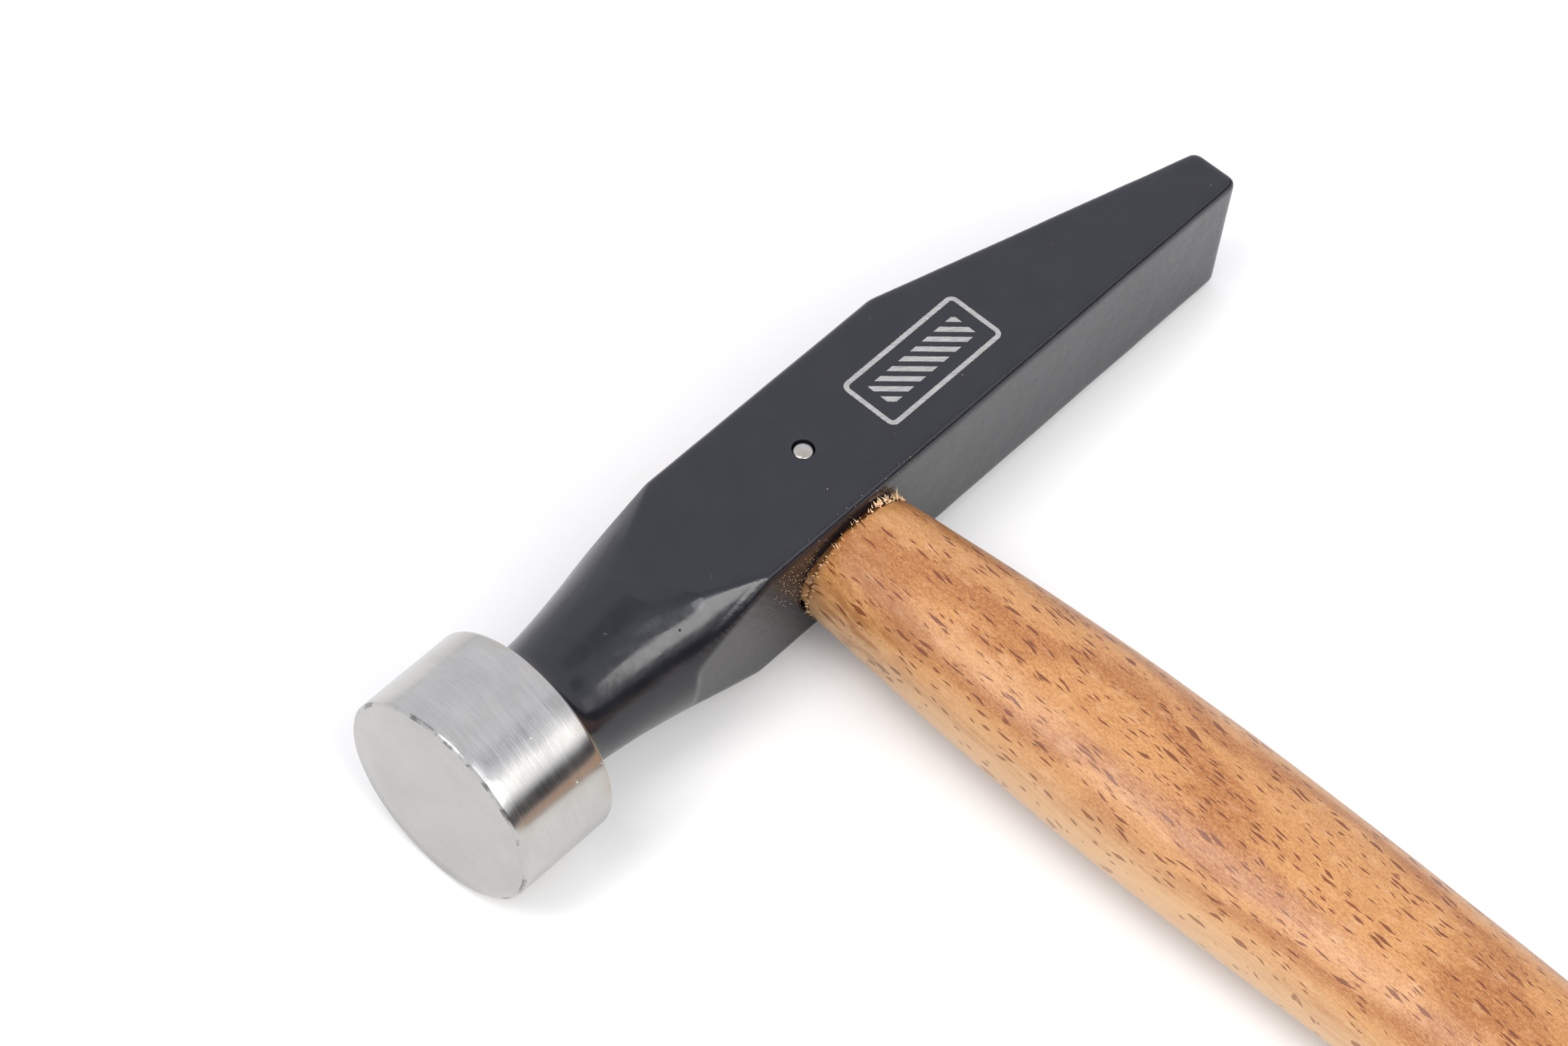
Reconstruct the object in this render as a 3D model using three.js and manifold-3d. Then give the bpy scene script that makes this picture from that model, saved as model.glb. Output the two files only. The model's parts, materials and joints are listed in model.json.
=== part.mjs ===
// Cross peen hammer: forged steel head with a round striking face, beech handle,
// cross pin through the cheeks and two wedges in the top of the handle.
//
// Lengths are in millimetres. Every piece is built in the hammer's own frame:
// X runs along the head from the striking face (x = 0) to the peen edge, the
// handle points along -Y and Z goes through the cheeks. The finished hammer is
// then laid on its side on the floor, on the three points it rests on.

import * as THREE from 'three';
import { mergeVertices } from 'three/addons/utils/BufferGeometryUtils.js';
import Module from 'manifold-3d';

const wasm = await Module();
wasm.setup();

// Gap left between pieces that touch on the real hammer.
const GAP = 0.3;

// Head.
const HEAD_LENGTH = 188;
const BAR_HALF_WIDTH = 14.4;
const BAR_HALF_DEPTH = 14.4;
const BAR_EDGE_ROUND = 1.6;
const TAPER_START = 119.8;
const PEEN_EDGE_FAR_Y = -4.4;
const PEEN_CORNER_ROUND = 2.6;
const DISC_RADIUS = 20;
const DISC_THICKNESS = 20.5;
const DISC_FRONT_CHAMFER = 0.4;
const DISC_BACK_ROUND = 0.8;
const NECK_RADIUS = 12.3;
const NECK_START = 28;
const NECK_SLOPE = 0.112;
const NECK_CURVE = 0.0027;
const NECK_ROUND_END = 46;
const NECK_FILLET = 5.5;

// Eye, cross pin and handle direction.
const EYE_X = 85.1;
const EYE_HALF_LENGTH = 12.4;
const EYE_HALF_WIDTH = 8.8;
const EYE_MOUTH_FLARE = 0.8;
const EYE_MOUTH_DEPTH = 3;
const PIN_X = 87;
const PIN_RADIUS = 1.9;
const PIN_RECESS = 0.35;
const PIN_DOME = 0.45;
const HANDLE_LEAN = THREE.MathUtils.degToRad(0.65);

// Handle: distances run from the middle of the eye towards the butt.
const TENON_TOP = -15.1;
const TENON_CHAMFER = 0.8;
const SHOULDER = BAR_HALF_WIDTH + 0.5;
const SHOULDER_ROUND = 1.2;
const SHOULDER_HALF_WIDTH = 12.4;
const SWELL_AT = 95;
const SWELL_HALF_WIDTH = 16.9;
const WAIST_AT = 200;
const WAIST_HALF_WIDTH = 15;
const GRIP_AT = 288;
const GRIP_HALF_WIDTH = 17;
const HANDLE_END = 316;
const BUTT_ROUND = 6;
const SHOULDER_FLATNESS = 0.92;
const BODY_FLATNESS = 0.78;
const SECTION_POWER = 2.25;

// Wedges in the top of the tenon.
const WEDGE_DEPTH = 10;
const WOOD_WEDGE_LENGTH = 20;
const WOOD_WEDGE_TOP = 4;
const WOOD_WEDGE_TIP = 1.4;
const STEEL_WEDGE_DEPTH = 7.5;
const STEEL_WEDGE_LENGTH = 9.6;
const STEEL_WEDGE_TOP = 2.2;
const STEEL_WEDGE_TIP = 0.8;
const STEEL_WEDGE_X = 4.2;

// Facets.
const ROUND_SEGMENTS = 64;
const HOLE_SEGMENTS = 32;
const EDGE_SEGMENTS = 4;
const HANDLE_SEGMENTS = 40;
const HANDLE_STATIONS = 26;

const STEEL = { color: '#c9cacb', roughness: 0.35, metalness: 1 };
const ENAMEL = { color: '#34363a', roughness: 0.42, metalness: 0.2 };
const BEECH = { color: '#c98f5c', roughness: 0.55, metalness: 0 };
const WEDGE_WOOD = { color: '#b57f4d', roughness: 0.7, metalness: 0 };

/** Corner numbers of the triangles whose three corners differ. */
function realTriangles(index) {
  const kept = [];
  for (let i = 0; i < index.length; i += 3) {
    const [a, b, c] = index.slice(i, i + 3);
    if (a !== b && b !== c && c !== a) {
      kept.push(a, b, c);
    }
  }
  return kept;
}

/** Turns a closed three.js geometry into a solid that can be joined or cut. */
function solid(geometry) {
  const bare = geometry.clone();
  bare.deleteAttribute('normal');
  bare.deleteAttribute('uv');
  const merged = mergeVertices(bare, 1e-4);
  return new wasm.Manifold(new wasm.Mesh({
    numProp: 3,
    vertProperties: new Float32Array(merged.attributes.position.array),
    triVerts: new Uint32Array(realTriangles(merged.index.array)),
  }));
}

/** Turns a solid back into a three.js geometry. */
function toGeometry(body) {
  const mesh = body.getMesh();
  const geometry = new THREE.BufferGeometry();
  geometry.setAttribute('position', new THREE.BufferAttribute(mesh.vertProperties, 3));
  geometry.setIndex(new THREE.BufferAttribute(mesh.triVerts, 1));
  geometry.computeVertexNormals();
  return geometry;
}

/** Turned solid about the X axis from (x, radius) points that start and end at radius 0. */
function turnedAlongX(points, segments = ROUND_SEGMENTS) {
  const outline = points.map(([x, radius]) => new THREE.Vector2(radius, x));
  return new THREE.LatheGeometry(outline, segments).rotateZ(-Math.PI / 2);
}

/** Radius of the turned neck at a distance from the striking face. */
function neckRadius(x) {
  const run = Math.max(0, x - NECK_START);
  return NECK_RADIUS + NECK_SLOPE * run + NECK_CURVE * run * run;
}

/** Neck outline points between two distances from the striking face. */
function neckOutline(from, to, steps) {
  const points = [];
  for (let i = 0; i <= steps; i += 1) {
    const x = THREE.MathUtils.lerp(from, to, i / steps);
    points.push([x, neckRadius(x)]);
  }
  return points;
}

/** Quarter round from one (x, radius) point, as angles in degrees about a centre. */
function arcPoints(centreX, centreRadius, radius, fromDeg, toDeg, steps) {
  const points = [];
  for (let i = 0; i <= steps; i += 1) {
    const angle = THREE.MathUtils.degToRad(THREE.MathUtils.lerp(fromDeg, toDeg, i / steps));
    points.push([centreX + radius * Math.cos(angle), centreRadius + radius * Math.sin(angle)]);
  }
  return points;
}

/** Round striking disc with the fillet and the round part of the neck behind it. */
function strikingDisc() {
  const backCorner = arcPoints(
    DISC_THICKNESS - DISC_BACK_ROUND, DISC_RADIUS - DISC_BACK_ROUND, DISC_BACK_ROUND, 90, 0, EDGE_SEGMENTS);
  const fillet = arcPoints(
    DISC_THICKNESS + NECK_FILLET, NECK_RADIUS + NECK_FILLET, NECK_FILLET, 180, 270, 2 * EDGE_SEGMENTS);
  return turnedAlongX([
    [0, 0],
    [0, DISC_RADIUS - DISC_FRONT_CHAMFER],
    [DISC_FRONT_CHAMFER, DISC_RADIUS],
    ...backCorner,
    ...fillet,
    ...neckOutline(NECK_START, NECK_ROUND_END, 6),
    [NECK_ROUND_END, 0],
  ]);
}

/** Outline of the bar seen from the cheek: straight handle side, far side bent to the peen. */
function barOutline() {
  const farSlope = (BAR_HALF_WIDTH - PEEN_EDGE_FAR_Y) / (HEAD_LENGTH - TAPER_START);
  const shape = new THREE.Shape();
  shape.moveTo(NECK_START, -BAR_HALF_WIDTH);
  shape.lineTo(HEAD_LENGTH - PEEN_CORNER_ROUND, -BAR_HALF_WIDTH);
  shape.quadraticCurveTo(HEAD_LENGTH, -BAR_HALF_WIDTH, HEAD_LENGTH, -BAR_HALF_WIDTH + PEEN_CORNER_ROUND);
  shape.lineTo(HEAD_LENGTH, PEEN_EDGE_FAR_Y - PEEN_CORNER_ROUND);
  shape.quadraticCurveTo(
    HEAD_LENGTH, PEEN_EDGE_FAR_Y,
    HEAD_LENGTH - PEEN_CORNER_ROUND, PEEN_EDGE_FAR_Y + farSlope * PEEN_CORNER_ROUND);
  shape.lineTo(TAPER_START + 2, BAR_HALF_WIDTH - 2 * farSlope);
  shape.quadraticCurveTo(TAPER_START, BAR_HALF_WIDTH, TAPER_START - 2, BAR_HALF_WIDTH);
  shape.lineTo(NECK_START, BAR_HALF_WIDTH);
  shape.closePath();
  return shape;
}

/** Square bar with rounded edges, from the neck to the peen. */
function bar() {
  const depth = 2 * (BAR_HALF_DEPTH - BAR_EDGE_ROUND);
  return new THREE.ExtrudeGeometry(barOutline(), {
    depth,
    curveSegments: EDGE_SEGMENTS,
    bevelEnabled: true,
    bevelThickness: BAR_EDGE_ROUND,
    bevelSize: BAR_EDGE_ROUND,
    bevelOffset: -BAR_EDGE_ROUND,
    bevelSegments: EDGE_SEGMENTS,
  }).translate(0, 0, -depth / 2);
}

/** Turned envelope that cuts the bar's corners down to the neck. */
function neckEnvelope() {
  const cleared = 66;
  return turnedAlongX([
    [NECK_START, 0],
    ...neckOutline(NECK_START, cleared, 12),
    [HEAD_LENGTH + 5, 30],
    [HEAD_LENGTH + 5, 0],
  ]);
}

/** Point on a rounded oval, at an angle from the first half-axis. */
function ovalPoint(angle, halfX, halfZ) {
  const power = 2 / SECTION_POWER;
  const c = Math.cos(angle);
  const s = Math.sin(angle);
  return [
    halfX * Math.sign(c) * Math.abs(c) ** power,
    halfZ * Math.sign(s) * Math.abs(s) ** power,
  ];
}

/** Closed oval body along -Y, from stations of distance and half-widths along X and Z. */
function ovalBody(stations, segments) {
  const unit = stations.map(({ at }) => new THREE.Vector2(1, -at));
  const outline = [new THREE.Vector2(0, -stations[0].at), ...unit,
    new THREE.Vector2(0, -stations[stations.length - 1].at)];
  const geometry = new THREE.LatheGeometry(outline.reverse(), segments);
  const position = geometry.attributes.position;
  const widths = new Map(stations.map((station) => [Math.fround(-station.at), station]));
  for (let i = 0; i < position.count; i += 1) {
    const station = widths.get(position.getY(i));
    const onAxis = Math.hypot(position.getX(i), position.getZ(i)) < 0.5;
    if (!onAxis) {
      const angle = Math.atan2(position.getZ(i), position.getX(i));
      const [x, z] = ovalPoint(angle, station.halfX, station.halfZ);
      position.setX(i, x);
      position.setZ(i, z);
    }
  }
  return geometry;
}

/** Places something built on the handle's own axis where the handle meets the head. */
function onHandleAxis(geometry) {
  return geometry.rotateZ(HANDLE_LEAN).translate(EYE_X, 0, 0);
}

/** Oval hole for the tenon, opened a little at both mouths. */
function eyeCutter() {
  const mouth = BAR_HALF_WIDTH + 0.01;
  const outside = BAR_HALF_WIDTH + 4;
  const inner = BAR_HALF_WIDTH - EYE_MOUTH_DEPTH;
  const wide = { halfX: EYE_HALF_LENGTH + EYE_MOUTH_FLARE, halfZ: EYE_HALF_WIDTH + EYE_MOUTH_FLARE };
  const straight = { halfX: EYE_HALF_LENGTH, halfZ: EYE_HALF_WIDTH };
  return onHandleAxis(ovalBody([
    { at: -outside, ...wide },
    { at: -mouth, ...wide },
    { at: -inner, ...straight },
    { at: inner, ...straight },
    { at: mouth, ...wide },
    { at: outside, ...wide },
  ], HANDLE_SEGMENTS));
}

/** Round cutter or rod along Z at the pin's place. */
function pinRod(radius, halfLength) {
  return new THREE.CylinderGeometry(radius, radius, 2 * halfLength, HOLE_SEGMENTS)
    .rotateX(Math.PI / 2)
    .translate(PIN_X, 0, 0);
}

/** Head: disc, neck, bar and peen as one forging, with the eye and the pin hole cut. */
function headBody() {
  return solid(bar())
    .intersect(solid(neckEnvelope()))
    .add(solid(strikingDisc()))
    .subtract(solid(eyeCutter()))
    .subtract(solid(pinRod(PIN_RADIUS + GAP, BAR_HALF_DEPTH + 2)));
}

/** Half-width of the handle's body at a distance from the eye. */
function handleHalfWidth(at) {
  if (at <= SWELL_AT) {
    const rise = Math.sin((Math.PI / 2) * Math.max(0, at - SHOULDER) / (SWELL_AT - SHOULDER));
    return THREE.MathUtils.lerp(SHOULDER_HALF_WIDTH, SWELL_HALF_WIDTH, rise);
  }
  if (at <= WAIST_AT) {
    const fall = THREE.MathUtils.smoothstep(at, SWELL_AT, WAIST_AT);
    return THREE.MathUtils.lerp(SWELL_HALF_WIDTH, WAIST_HALF_WIDTH, fall);
  }
  const swell = THREE.MathUtils.smoothstep(at, WAIST_AT, GRIP_AT);
  return THREE.MathUtils.lerp(WAIST_HALF_WIDTH, GRIP_HALF_WIDTH, swell);
}

/** Station of the handle's body, drawn in by a margin for its rounded ends. */
function bodyStation(at, margin = 0) {
  const blend = THREE.MathUtils.smoothstep(at, SHOULDER, SWELL_AT);
  const flatness = THREE.MathUtils.lerp(SHOULDER_FLATNESS, BODY_FLATNESS, blend);
  const halfX = handleHalfWidth(at);
  return { at, halfX: halfX - margin, halfZ: halfX * flatness - margin };
}

/** Oval beech body from the shoulder below the head to the rounded butt. */
function handleBodyGeometry() {
  const stations = [];
  for (let i = 0; i <= EDGE_SEGMENTS; i += 1) {
    const angle = (Math.PI / 2) * (i / EDGE_SEGMENTS);
    stations.push(bodyStation(
      SHOULDER + SHOULDER_ROUND * (1 - Math.cos(angle)), SHOULDER_ROUND * (1 - Math.sin(angle))));
  }
  const start = SHOULDER + SHOULDER_ROUND;
  const end = HANDLE_END - BUTT_ROUND;
  for (let i = 1; i <= HANDLE_STATIONS; i += 1) {
    stations.push(bodyStation(THREE.MathUtils.lerp(start, end, i / HANDLE_STATIONS)));
  }
  for (let i = 1; i <= 2 * EDGE_SEGMENTS; i += 1) {
    const angle = (Math.PI / 2) * (i / (2 * EDGE_SEGMENTS));
    stations.push(bodyStation(end + BUTT_ROUND * Math.sin(angle), BUTT_ROUND * (1 - Math.cos(angle))));
  }
  return ovalBody(stations, HANDLE_SEGMENTS);
}

/** Tenon that fills the eye and runs into the body. */
function tenonGeometry() {
  const halfX = EYE_HALF_LENGTH - GAP;
  const halfZ = EYE_HALF_WIDTH - GAP;
  return ovalBody([
    { at: TENON_TOP, halfX: halfX - TENON_CHAMFER, halfZ: halfZ - TENON_CHAMFER },
    { at: TENON_TOP + TENON_CHAMFER, halfX, halfZ },
    { at: SHOULDER + 6, halfX, halfZ },
  ], HANDLE_SEGMENTS);
}

/** Wedge pointing along -Y from the top of the tenon: wide at the top, thin at the tip. */
function wedgeGeometry(top, tip, length, depth, grow) {
  const reach = depth + grow;
  const shape = new THREE.Shape();
  shape.moveTo(-top / 2 - grow, -TENON_TOP + grow);
  shape.lineTo(-tip / 2 - grow, -TENON_TOP - reach);
  shape.lineTo(tip / 2 + grow, -TENON_TOP - reach);
  shape.lineTo(top / 2 + grow, -TENON_TOP + grow);
  shape.closePath();
  const span = length + 2 * grow;
  return new THREE.ExtrudeGeometry(shape, { depth: span, bevelEnabled: false })
    .translate(0, 0, -span / 2);
}

/** Wooden wedge, its faces across the cheeks. */
function woodWedgeSolid(grow) {
  return solid(wedgeGeometry(WOOD_WEDGE_TOP, WOOD_WEDGE_TIP, WOOD_WEDGE_LENGTH, WEDGE_DEPTH, grow)
    .rotateY(Math.PI / 2));
}

/** Steel wedge, driven across the wooden one. */
function steelWedgeSolid(grow) {
  return solid(wedgeGeometry(
    STEEL_WEDGE_TOP, STEEL_WEDGE_TIP, STEEL_WEDGE_LENGTH, STEEL_WEDGE_DEPTH, grow)
    .translate(STEEL_WEDGE_X, 0, 0));
}

/** Handle with its tenon, the kerfs for the wedges and the hole for the cross pin. */
function handleBody() {
  const rough = solid(handleBodyGeometry())
    .add(solid(tenonGeometry()))
    .subtract(woodWedgeSolid(GAP))
    .subtract(steelWedgeSolid(GAP));
  const placed = solid(onHandleAxis(toGeometry(rough)));
  return placed.subtract(solid(pinRod(PIN_RADIUS + GAP, BAR_HALF_DEPTH)));
}

/** Wooden wedge with the slot that the steel wedge opens in it. */
function woodWedgeBody() {
  return solid(onHandleAxis(toGeometry(woodWedgeSolid(0).subtract(steelWedgeSolid(GAP)))));
}

/** Steel wedge in its place. */
function steelWedgeBody() {
  return solid(onHandleAxis(toGeometry(steelWedgeSolid(0))));
}

/** Cross pin with domed ends, set just below the cheeks. */
function crossPinBody() {
  const half = BAR_HALF_DEPTH - PIN_RECESS;
  const outline = [new THREE.Vector2(0, -half)];
  for (const side of [-1, 1]) {
    for (let i = 1; i <= EDGE_SEGMENTS; i += 1) {
      const step = side < 0 ? i : EDGE_SEGMENTS - i;
      const angle = (Math.PI / 2) * (step / EDGE_SEGMENTS);
      outline.push(new THREE.Vector2(
        PIN_RADIUS * Math.sin(angle),
        side * (half - PIN_DOME * (1 - Math.cos(angle)))));
    }
    if (side < 0) {
      outline.push(new THREE.Vector2(PIN_RADIUS, half - PIN_DOME));
    }
  }
  return solid(new THREE.LatheGeometry(outline, HOLE_SEGMENTS)
    .rotateX(Math.PI / 2)
    .translate(PIN_X, 0, 0));
}

/** Named mesh from a solid. */
function mesh(name, body, finish) {
  const result = new THREE.Mesh(toGeometry(body), new THREE.MeshStandardMaterial(finish));
  result.name = name;
  return result;
}

/** Vertices of a mesh that pass a test, as vectors. */
function vertices(source, keep = () => true) {
  const position = source.geometry.attributes.position;
  const points = [];
  for (let i = 0; i < position.count; i += 1) {
    const point = new THREE.Vector3().fromBufferAttribute(position, i);
    if (keep(point)) {
      points.push(point);
    }
  }
  return points;
}

/** Upward normal of the floor that touches the disc, the peen and the handle. */
function floorNormal(head, handle) {
  const feet = [
    vertices(head, (point) => point.x <= DISC_THICKNESS),
    vertices(head, (point) => point.x > TAPER_START),
    vertices(handle, (point) => point.y < -WAIST_AT),
  ];
  const normal = new THREE.Vector3(0, 0, 1);
  for (let pass = 0; pass < 6; pass += 1) {
    const lowest = feet.map((points) => points.reduce(
      (best, point) => (point.dot(normal) < best.dot(normal) ? point : best)));
    normal.copy(new THREE.Plane().setFromCoplanarPoints(...lowest).normal);
    normal.multiplyScalar(Math.sign(normal.z));
  }
  return normal;
}

/** Lays the hammer on the floor with the middle of its footprint at the origin. */
function layDown(pieces, normal) {
  const hammer = new THREE.Group();
  hammer.add(...pieces);
  hammer.quaternion.setFromUnitVectors(normal, new THREE.Vector3(0, 0, 1));
  hammer.updateMatrixWorld(true);
  const box = new THREE.Box3().setFromObject(hammer, true);
  const centre = box.getCenter(new THREE.Vector3());
  hammer.position.set(-centre.x, -centre.y, -box.min.z);
  return hammer;
}

const head = mesh('head', headBody(), ENAMEL);
const handle = mesh('handle', handleBody(), BEECH);
const crossPin = mesh('cross_pin', crossPinBody(), STEEL);
const woodWedge = mesh('wood_wedge', woodWedgeBody(), WEDGE_WOOD);
const steelWedge = mesh('steel_wedge', steelWedgeBody(), STEEL);

const part = new THREE.Group();
part.name = 'cross_peen_hammer';
part.add(layDown([head, handle, crossPin, woodWedge, steelWedge], floorNormal(head, handle)));

export default part;
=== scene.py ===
"""Cross peen hammer lying on its side: forged head, beech handle, cross pin and wedges.

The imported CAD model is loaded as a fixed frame. The finely modelled pieces are
built in the hammer's own frame, with X along the head from the striking face to
the peen, the handle along -Y and Z through the cheeks, and are then laid down
where the CAD head lies.
"""

from __future__ import annotations

import json
import logging
import math
import random
from contextlib import contextmanager
from dataclasses import dataclass, field
from enum import Enum
from typing import Callable, Iterator, Sequence

import bmesh
import bpy
from mathutils import Euler, Matrix, Vector, noise

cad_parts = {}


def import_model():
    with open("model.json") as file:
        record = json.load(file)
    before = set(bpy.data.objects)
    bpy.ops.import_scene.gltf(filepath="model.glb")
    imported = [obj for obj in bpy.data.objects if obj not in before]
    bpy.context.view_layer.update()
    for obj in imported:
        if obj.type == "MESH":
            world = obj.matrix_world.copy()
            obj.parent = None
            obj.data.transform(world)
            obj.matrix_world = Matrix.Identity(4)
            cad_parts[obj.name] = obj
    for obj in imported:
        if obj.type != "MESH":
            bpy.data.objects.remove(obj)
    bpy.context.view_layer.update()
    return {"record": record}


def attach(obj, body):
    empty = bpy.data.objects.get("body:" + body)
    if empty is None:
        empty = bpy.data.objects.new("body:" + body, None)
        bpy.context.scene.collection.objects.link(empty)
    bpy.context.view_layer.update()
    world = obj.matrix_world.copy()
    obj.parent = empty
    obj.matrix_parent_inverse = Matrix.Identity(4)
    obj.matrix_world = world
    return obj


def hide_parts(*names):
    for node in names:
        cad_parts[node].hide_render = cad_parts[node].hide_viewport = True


LOG = logging.getLogger("hammer")
MM = 0.001
BODY = "root"

Outline = Sequence[tuple[float, float]]


class Slot(Enum):
    """Material slots named in the CAD record."""

    ENAMEL = "enamel"
    BARE_STEEL = "bare_steel"
    BEECH = "beech"
    WEDGE_WOOD = "wedge_wood"
    WEDGE_STEEL = "wedge_steel"


class Cut(Enum):
    """Ways of combining two solids."""

    JOIN = "UNION"
    REMOVE = "DIFFERENCE"
    KEEP_COMMON = "INTERSECT"


@dataclass(frozen=True)
class HammerFrame:
    """The hammer's own frame inside the row frame."""

    matrix: Matrix

    @classmethod
    def from_record(cls, record: dict) -> HammerFrame:
        """Read the frame from the faces that the record states.

        Args:
            record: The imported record.

        Returns:
            The frame of the striking face and the upper cheek.
        """
        faces = {mount["name"]: mount for mount in record["mounts"]}
        along = -Vector(faces["striking_face"]["axis"]).normalized()
        up = Vector(faces["cheek_upper"]["axis"]).normalized()
        across = up.cross(along).normalized()
        matrix = Matrix((along, across, up)).transposed().to_4x4()
        matrix.translation = Vector(faces["striking_face"]["pos_m"])
        return cls(matrix)

    def place(self, point_mm: Sequence[float]) -> Vector:
        """Return a point of the hammer's frame, in millimetres, as a row position in metres."""
        return self.matrix @ (Vector(point_mm) * MM)

    def direction(self, axis: Sequence[float]) -> Vector:
        """Return a direction of the hammer's frame in the row frame."""
        return (self.matrix.to_3x3() @ Vector(axis)).normalized()

    def mapping(self) -> tuple[Vector, Euler]:
        """Return the location and rotation that turn row millimetres into hammer millimetres.

        Returns:
            The location in millimetres and the rotation.
        """
        turned = self.matrix.to_3x3().transposed()
        location = -(turned @ self.matrix.translation) / MM
        return location, turned.to_euler("XYZ")


class Bench:
    """Modelling steps that the pieces share."""

    @staticmethod
    def clear() -> None:
        """Leave edit mode and deselect everything."""
        if bpy.context.object and bpy.context.object.mode != "OBJECT":
            bpy.ops.object.mode_set(mode="OBJECT")
        bpy.ops.object.select_all(action="DESELECT")

    @staticmethod
    def pick(obj: bpy.types.Object) -> None:
        """Select one object alone and make it active.

        Args:
            obj: The object.
        """
        Bench.clear()
        obj.select_set(True)
        bpy.context.view_layer.objects.active = obj

    @staticmethod
    def named(name: str) -> bpy.types.Object:
        """Name the active object, bake its place into its mesh and return it.

        Args:
            name: Name for the object and its mesh.

        Returns:
            The object, at the origin, unturned and unscaled.
        """
        obj = bpy.context.object
        obj.name = name
        obj.data.name = name
        bpy.ops.object.transform_apply(location=True, rotation=True, scale=True)
        return obj

    @staticmethod
    @contextmanager
    def editing(obj: bpy.types.Object) -> Iterator[bmesh.types.BMesh]:
        """Hold an object in edit mode with nothing selected, as a bmesh.

        Args:
            obj: The object.

        Returns:
            The object's mesh while it is edited.
        """
        Bench.pick(obj)
        bpy.ops.object.mode_set(mode="EDIT")
        bpy.ops.mesh.select_all(action="DESELECT")
        mesh = bmesh.from_edit_mesh(obj.data)
        yield mesh
        bpy.ops.object.mode_set(mode="OBJECT")

    @staticmethod
    def select_vertices(obj: bpy.types.Object, test: Callable[[Vector], bool]) -> None:
        """Select the vertices of an object in edit mode whose place passes a test.

        Args:
            obj: The object.
            test: Tells from a place, in metres, whether a vertex is wanted.
        """
        bpy.ops.mesh.select_mode(type="VERT")
        bpy.ops.mesh.select_all(action="DESELECT")
        mesh = bmesh.from_edit_mesh(obj.data)
        for vertex in mesh.verts:
            vertex.select_set(test(vertex.co))
        mesh.select_flush(True)
        bmesh.update_edit_mesh(obj.data)

    @staticmethod
    def select_edges(obj: bpy.types.Object, test: Callable[[Vector, Vector], bool]) -> None:
        """Select the edges of an object in edit mode whose two ends pass a test.

        Args:
            obj: The object.
            test: Tells from the places of its ends, in metres, whether an edge is wanted.
        """
        bpy.ops.mesh.select_mode(type="EDGE")
        bpy.ops.mesh.select_all(action="DESELECT")
        mesh = bmesh.from_edit_mesh(obj.data)
        for edge in mesh.edges:
            edge.select_set(test(edge.verts[0].co, edge.verts[1].co))
        bmesh.update_edit_mesh(obj.data)

    @staticmethod
    def turned(name: str, outline: Outline, segments: int) -> bpy.types.Object:
        """Turn a solid about X by extruding and resizing a disc, ring by ring.

        Args:
            name: The new object's name.
            outline: Distances along X and radii, in millimetres, none of them zero.
            segments: Number of sides.

        Returns:
            The closed solid.
        """
        Bench.clear()
        start, radius = outline[0]
        bpy.ops.mesh.primitive_circle_add(
            vertices=segments, radius=radius * MM, fill_type="NGON",
            location=(start * MM, 0, 0), rotation=(0, -math.pi / 2, 0))
        obj = Bench.named(name)
        with Bench.editing(obj):
            bpy.ops.mesh.select_all(action="SELECT")
            for (x_before, r_before), (x, r) in zip(outline, outline[1:]):
                bpy.ops.mesh.extrude_region_move(
                    TRANSFORM_OT_translate={"value": ((x - x_before) * MM, 0, 0)})
                ratio = r / r_before
                bpy.ops.transform.resize(value=(1, ratio, ratio), center_override=(x * MM, 0, 0))
            bpy.ops.mesh.select_all(action="SELECT")
            bpy.ops.mesh.normals_make_consistent(inside=False)
        return obj

    @staticmethod
    def apply_modifiers(obj: bpy.types.Object) -> None:
        """Apply every modifier of an object in order.

        Args:
            obj: The object.
        """
        Bench.pick(obj)
        for modifier in list(obj.modifiers):
            bpy.ops.object.modifier_apply(modifier=modifier.name)

    @staticmethod
    def combine(obj: bpy.types.Object, tool: bpy.types.Object, cut: Cut) -> None:
        """Combine an object with a tool solid and discard the tool.

        Args:
            obj: The object that is changed.
            tool: The solid that is used up.
            cut: How the two are combined.
        """
        modifier = obj.modifiers.new("combine", "BOOLEAN")
        modifier.operation = cut.value
        modifier.solver = "EXACT"
        modifier.object = tool
        Bench.apply_modifiers(obj)
        bpy.data.objects.remove(tool, do_unlink=True)

    @staticmethod
    def reskin(obj: bpy.types.Object, voxel_mm: float, passes: int) -> None:
        """Rebuild a solid's skin from even small faces and soften its edges.

        Args:
            obj: The object.
            voxel_mm: Size of the new faces, in millimetres.
            passes: How many times the skin is smoothed.
        """
        skin = obj.modifiers.new("skin", "REMESH")
        skin.mode = "VOXEL"
        skin.voxel_size = voxel_mm * MM
        skin.use_smooth_shade = True
        soften = obj.modifiers.new("soften", "SMOOTH")
        soften.factor = 0.5
        soften.iterations = passes
        Bench.apply_modifiers(obj)

    @staticmethod
    def waver(obj: bpy.types.Object, wave_mm: float, height_mm: float) -> None:
        """Make a surface slightly uneven with broad low waves.

        Args:
            obj: The object.
            wave_mm: Length of a wave, in millimetres.
            height_mm: Height of the highest wave, in millimetres.
        """
        texture = bpy.data.textures.new(f"{obj.name}_waves", "CLOUDS")
        texture.noise_scale = wave_mm * MM
        texture.noise_depth = 2
        modifier = obj.modifiers.new("waves", "DISPLACE")
        modifier.texture = texture
        modifier.texture_coords = "LOCAL"
        modifier.strength = height_mm * MM
        modifier.mid_level = 0.5
        Bench.apply_modifiers(obj)

    @staticmethod
    def smooth(obj: bpy.types.Object, angle_deg: float) -> None:
        """Shade an object smooth except across edges sharper than an angle."""
        Bench.pick(obj)
        bpy.ops.object.shade_smooth_by_angle(angle=math.radians(angle_deg))

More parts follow.
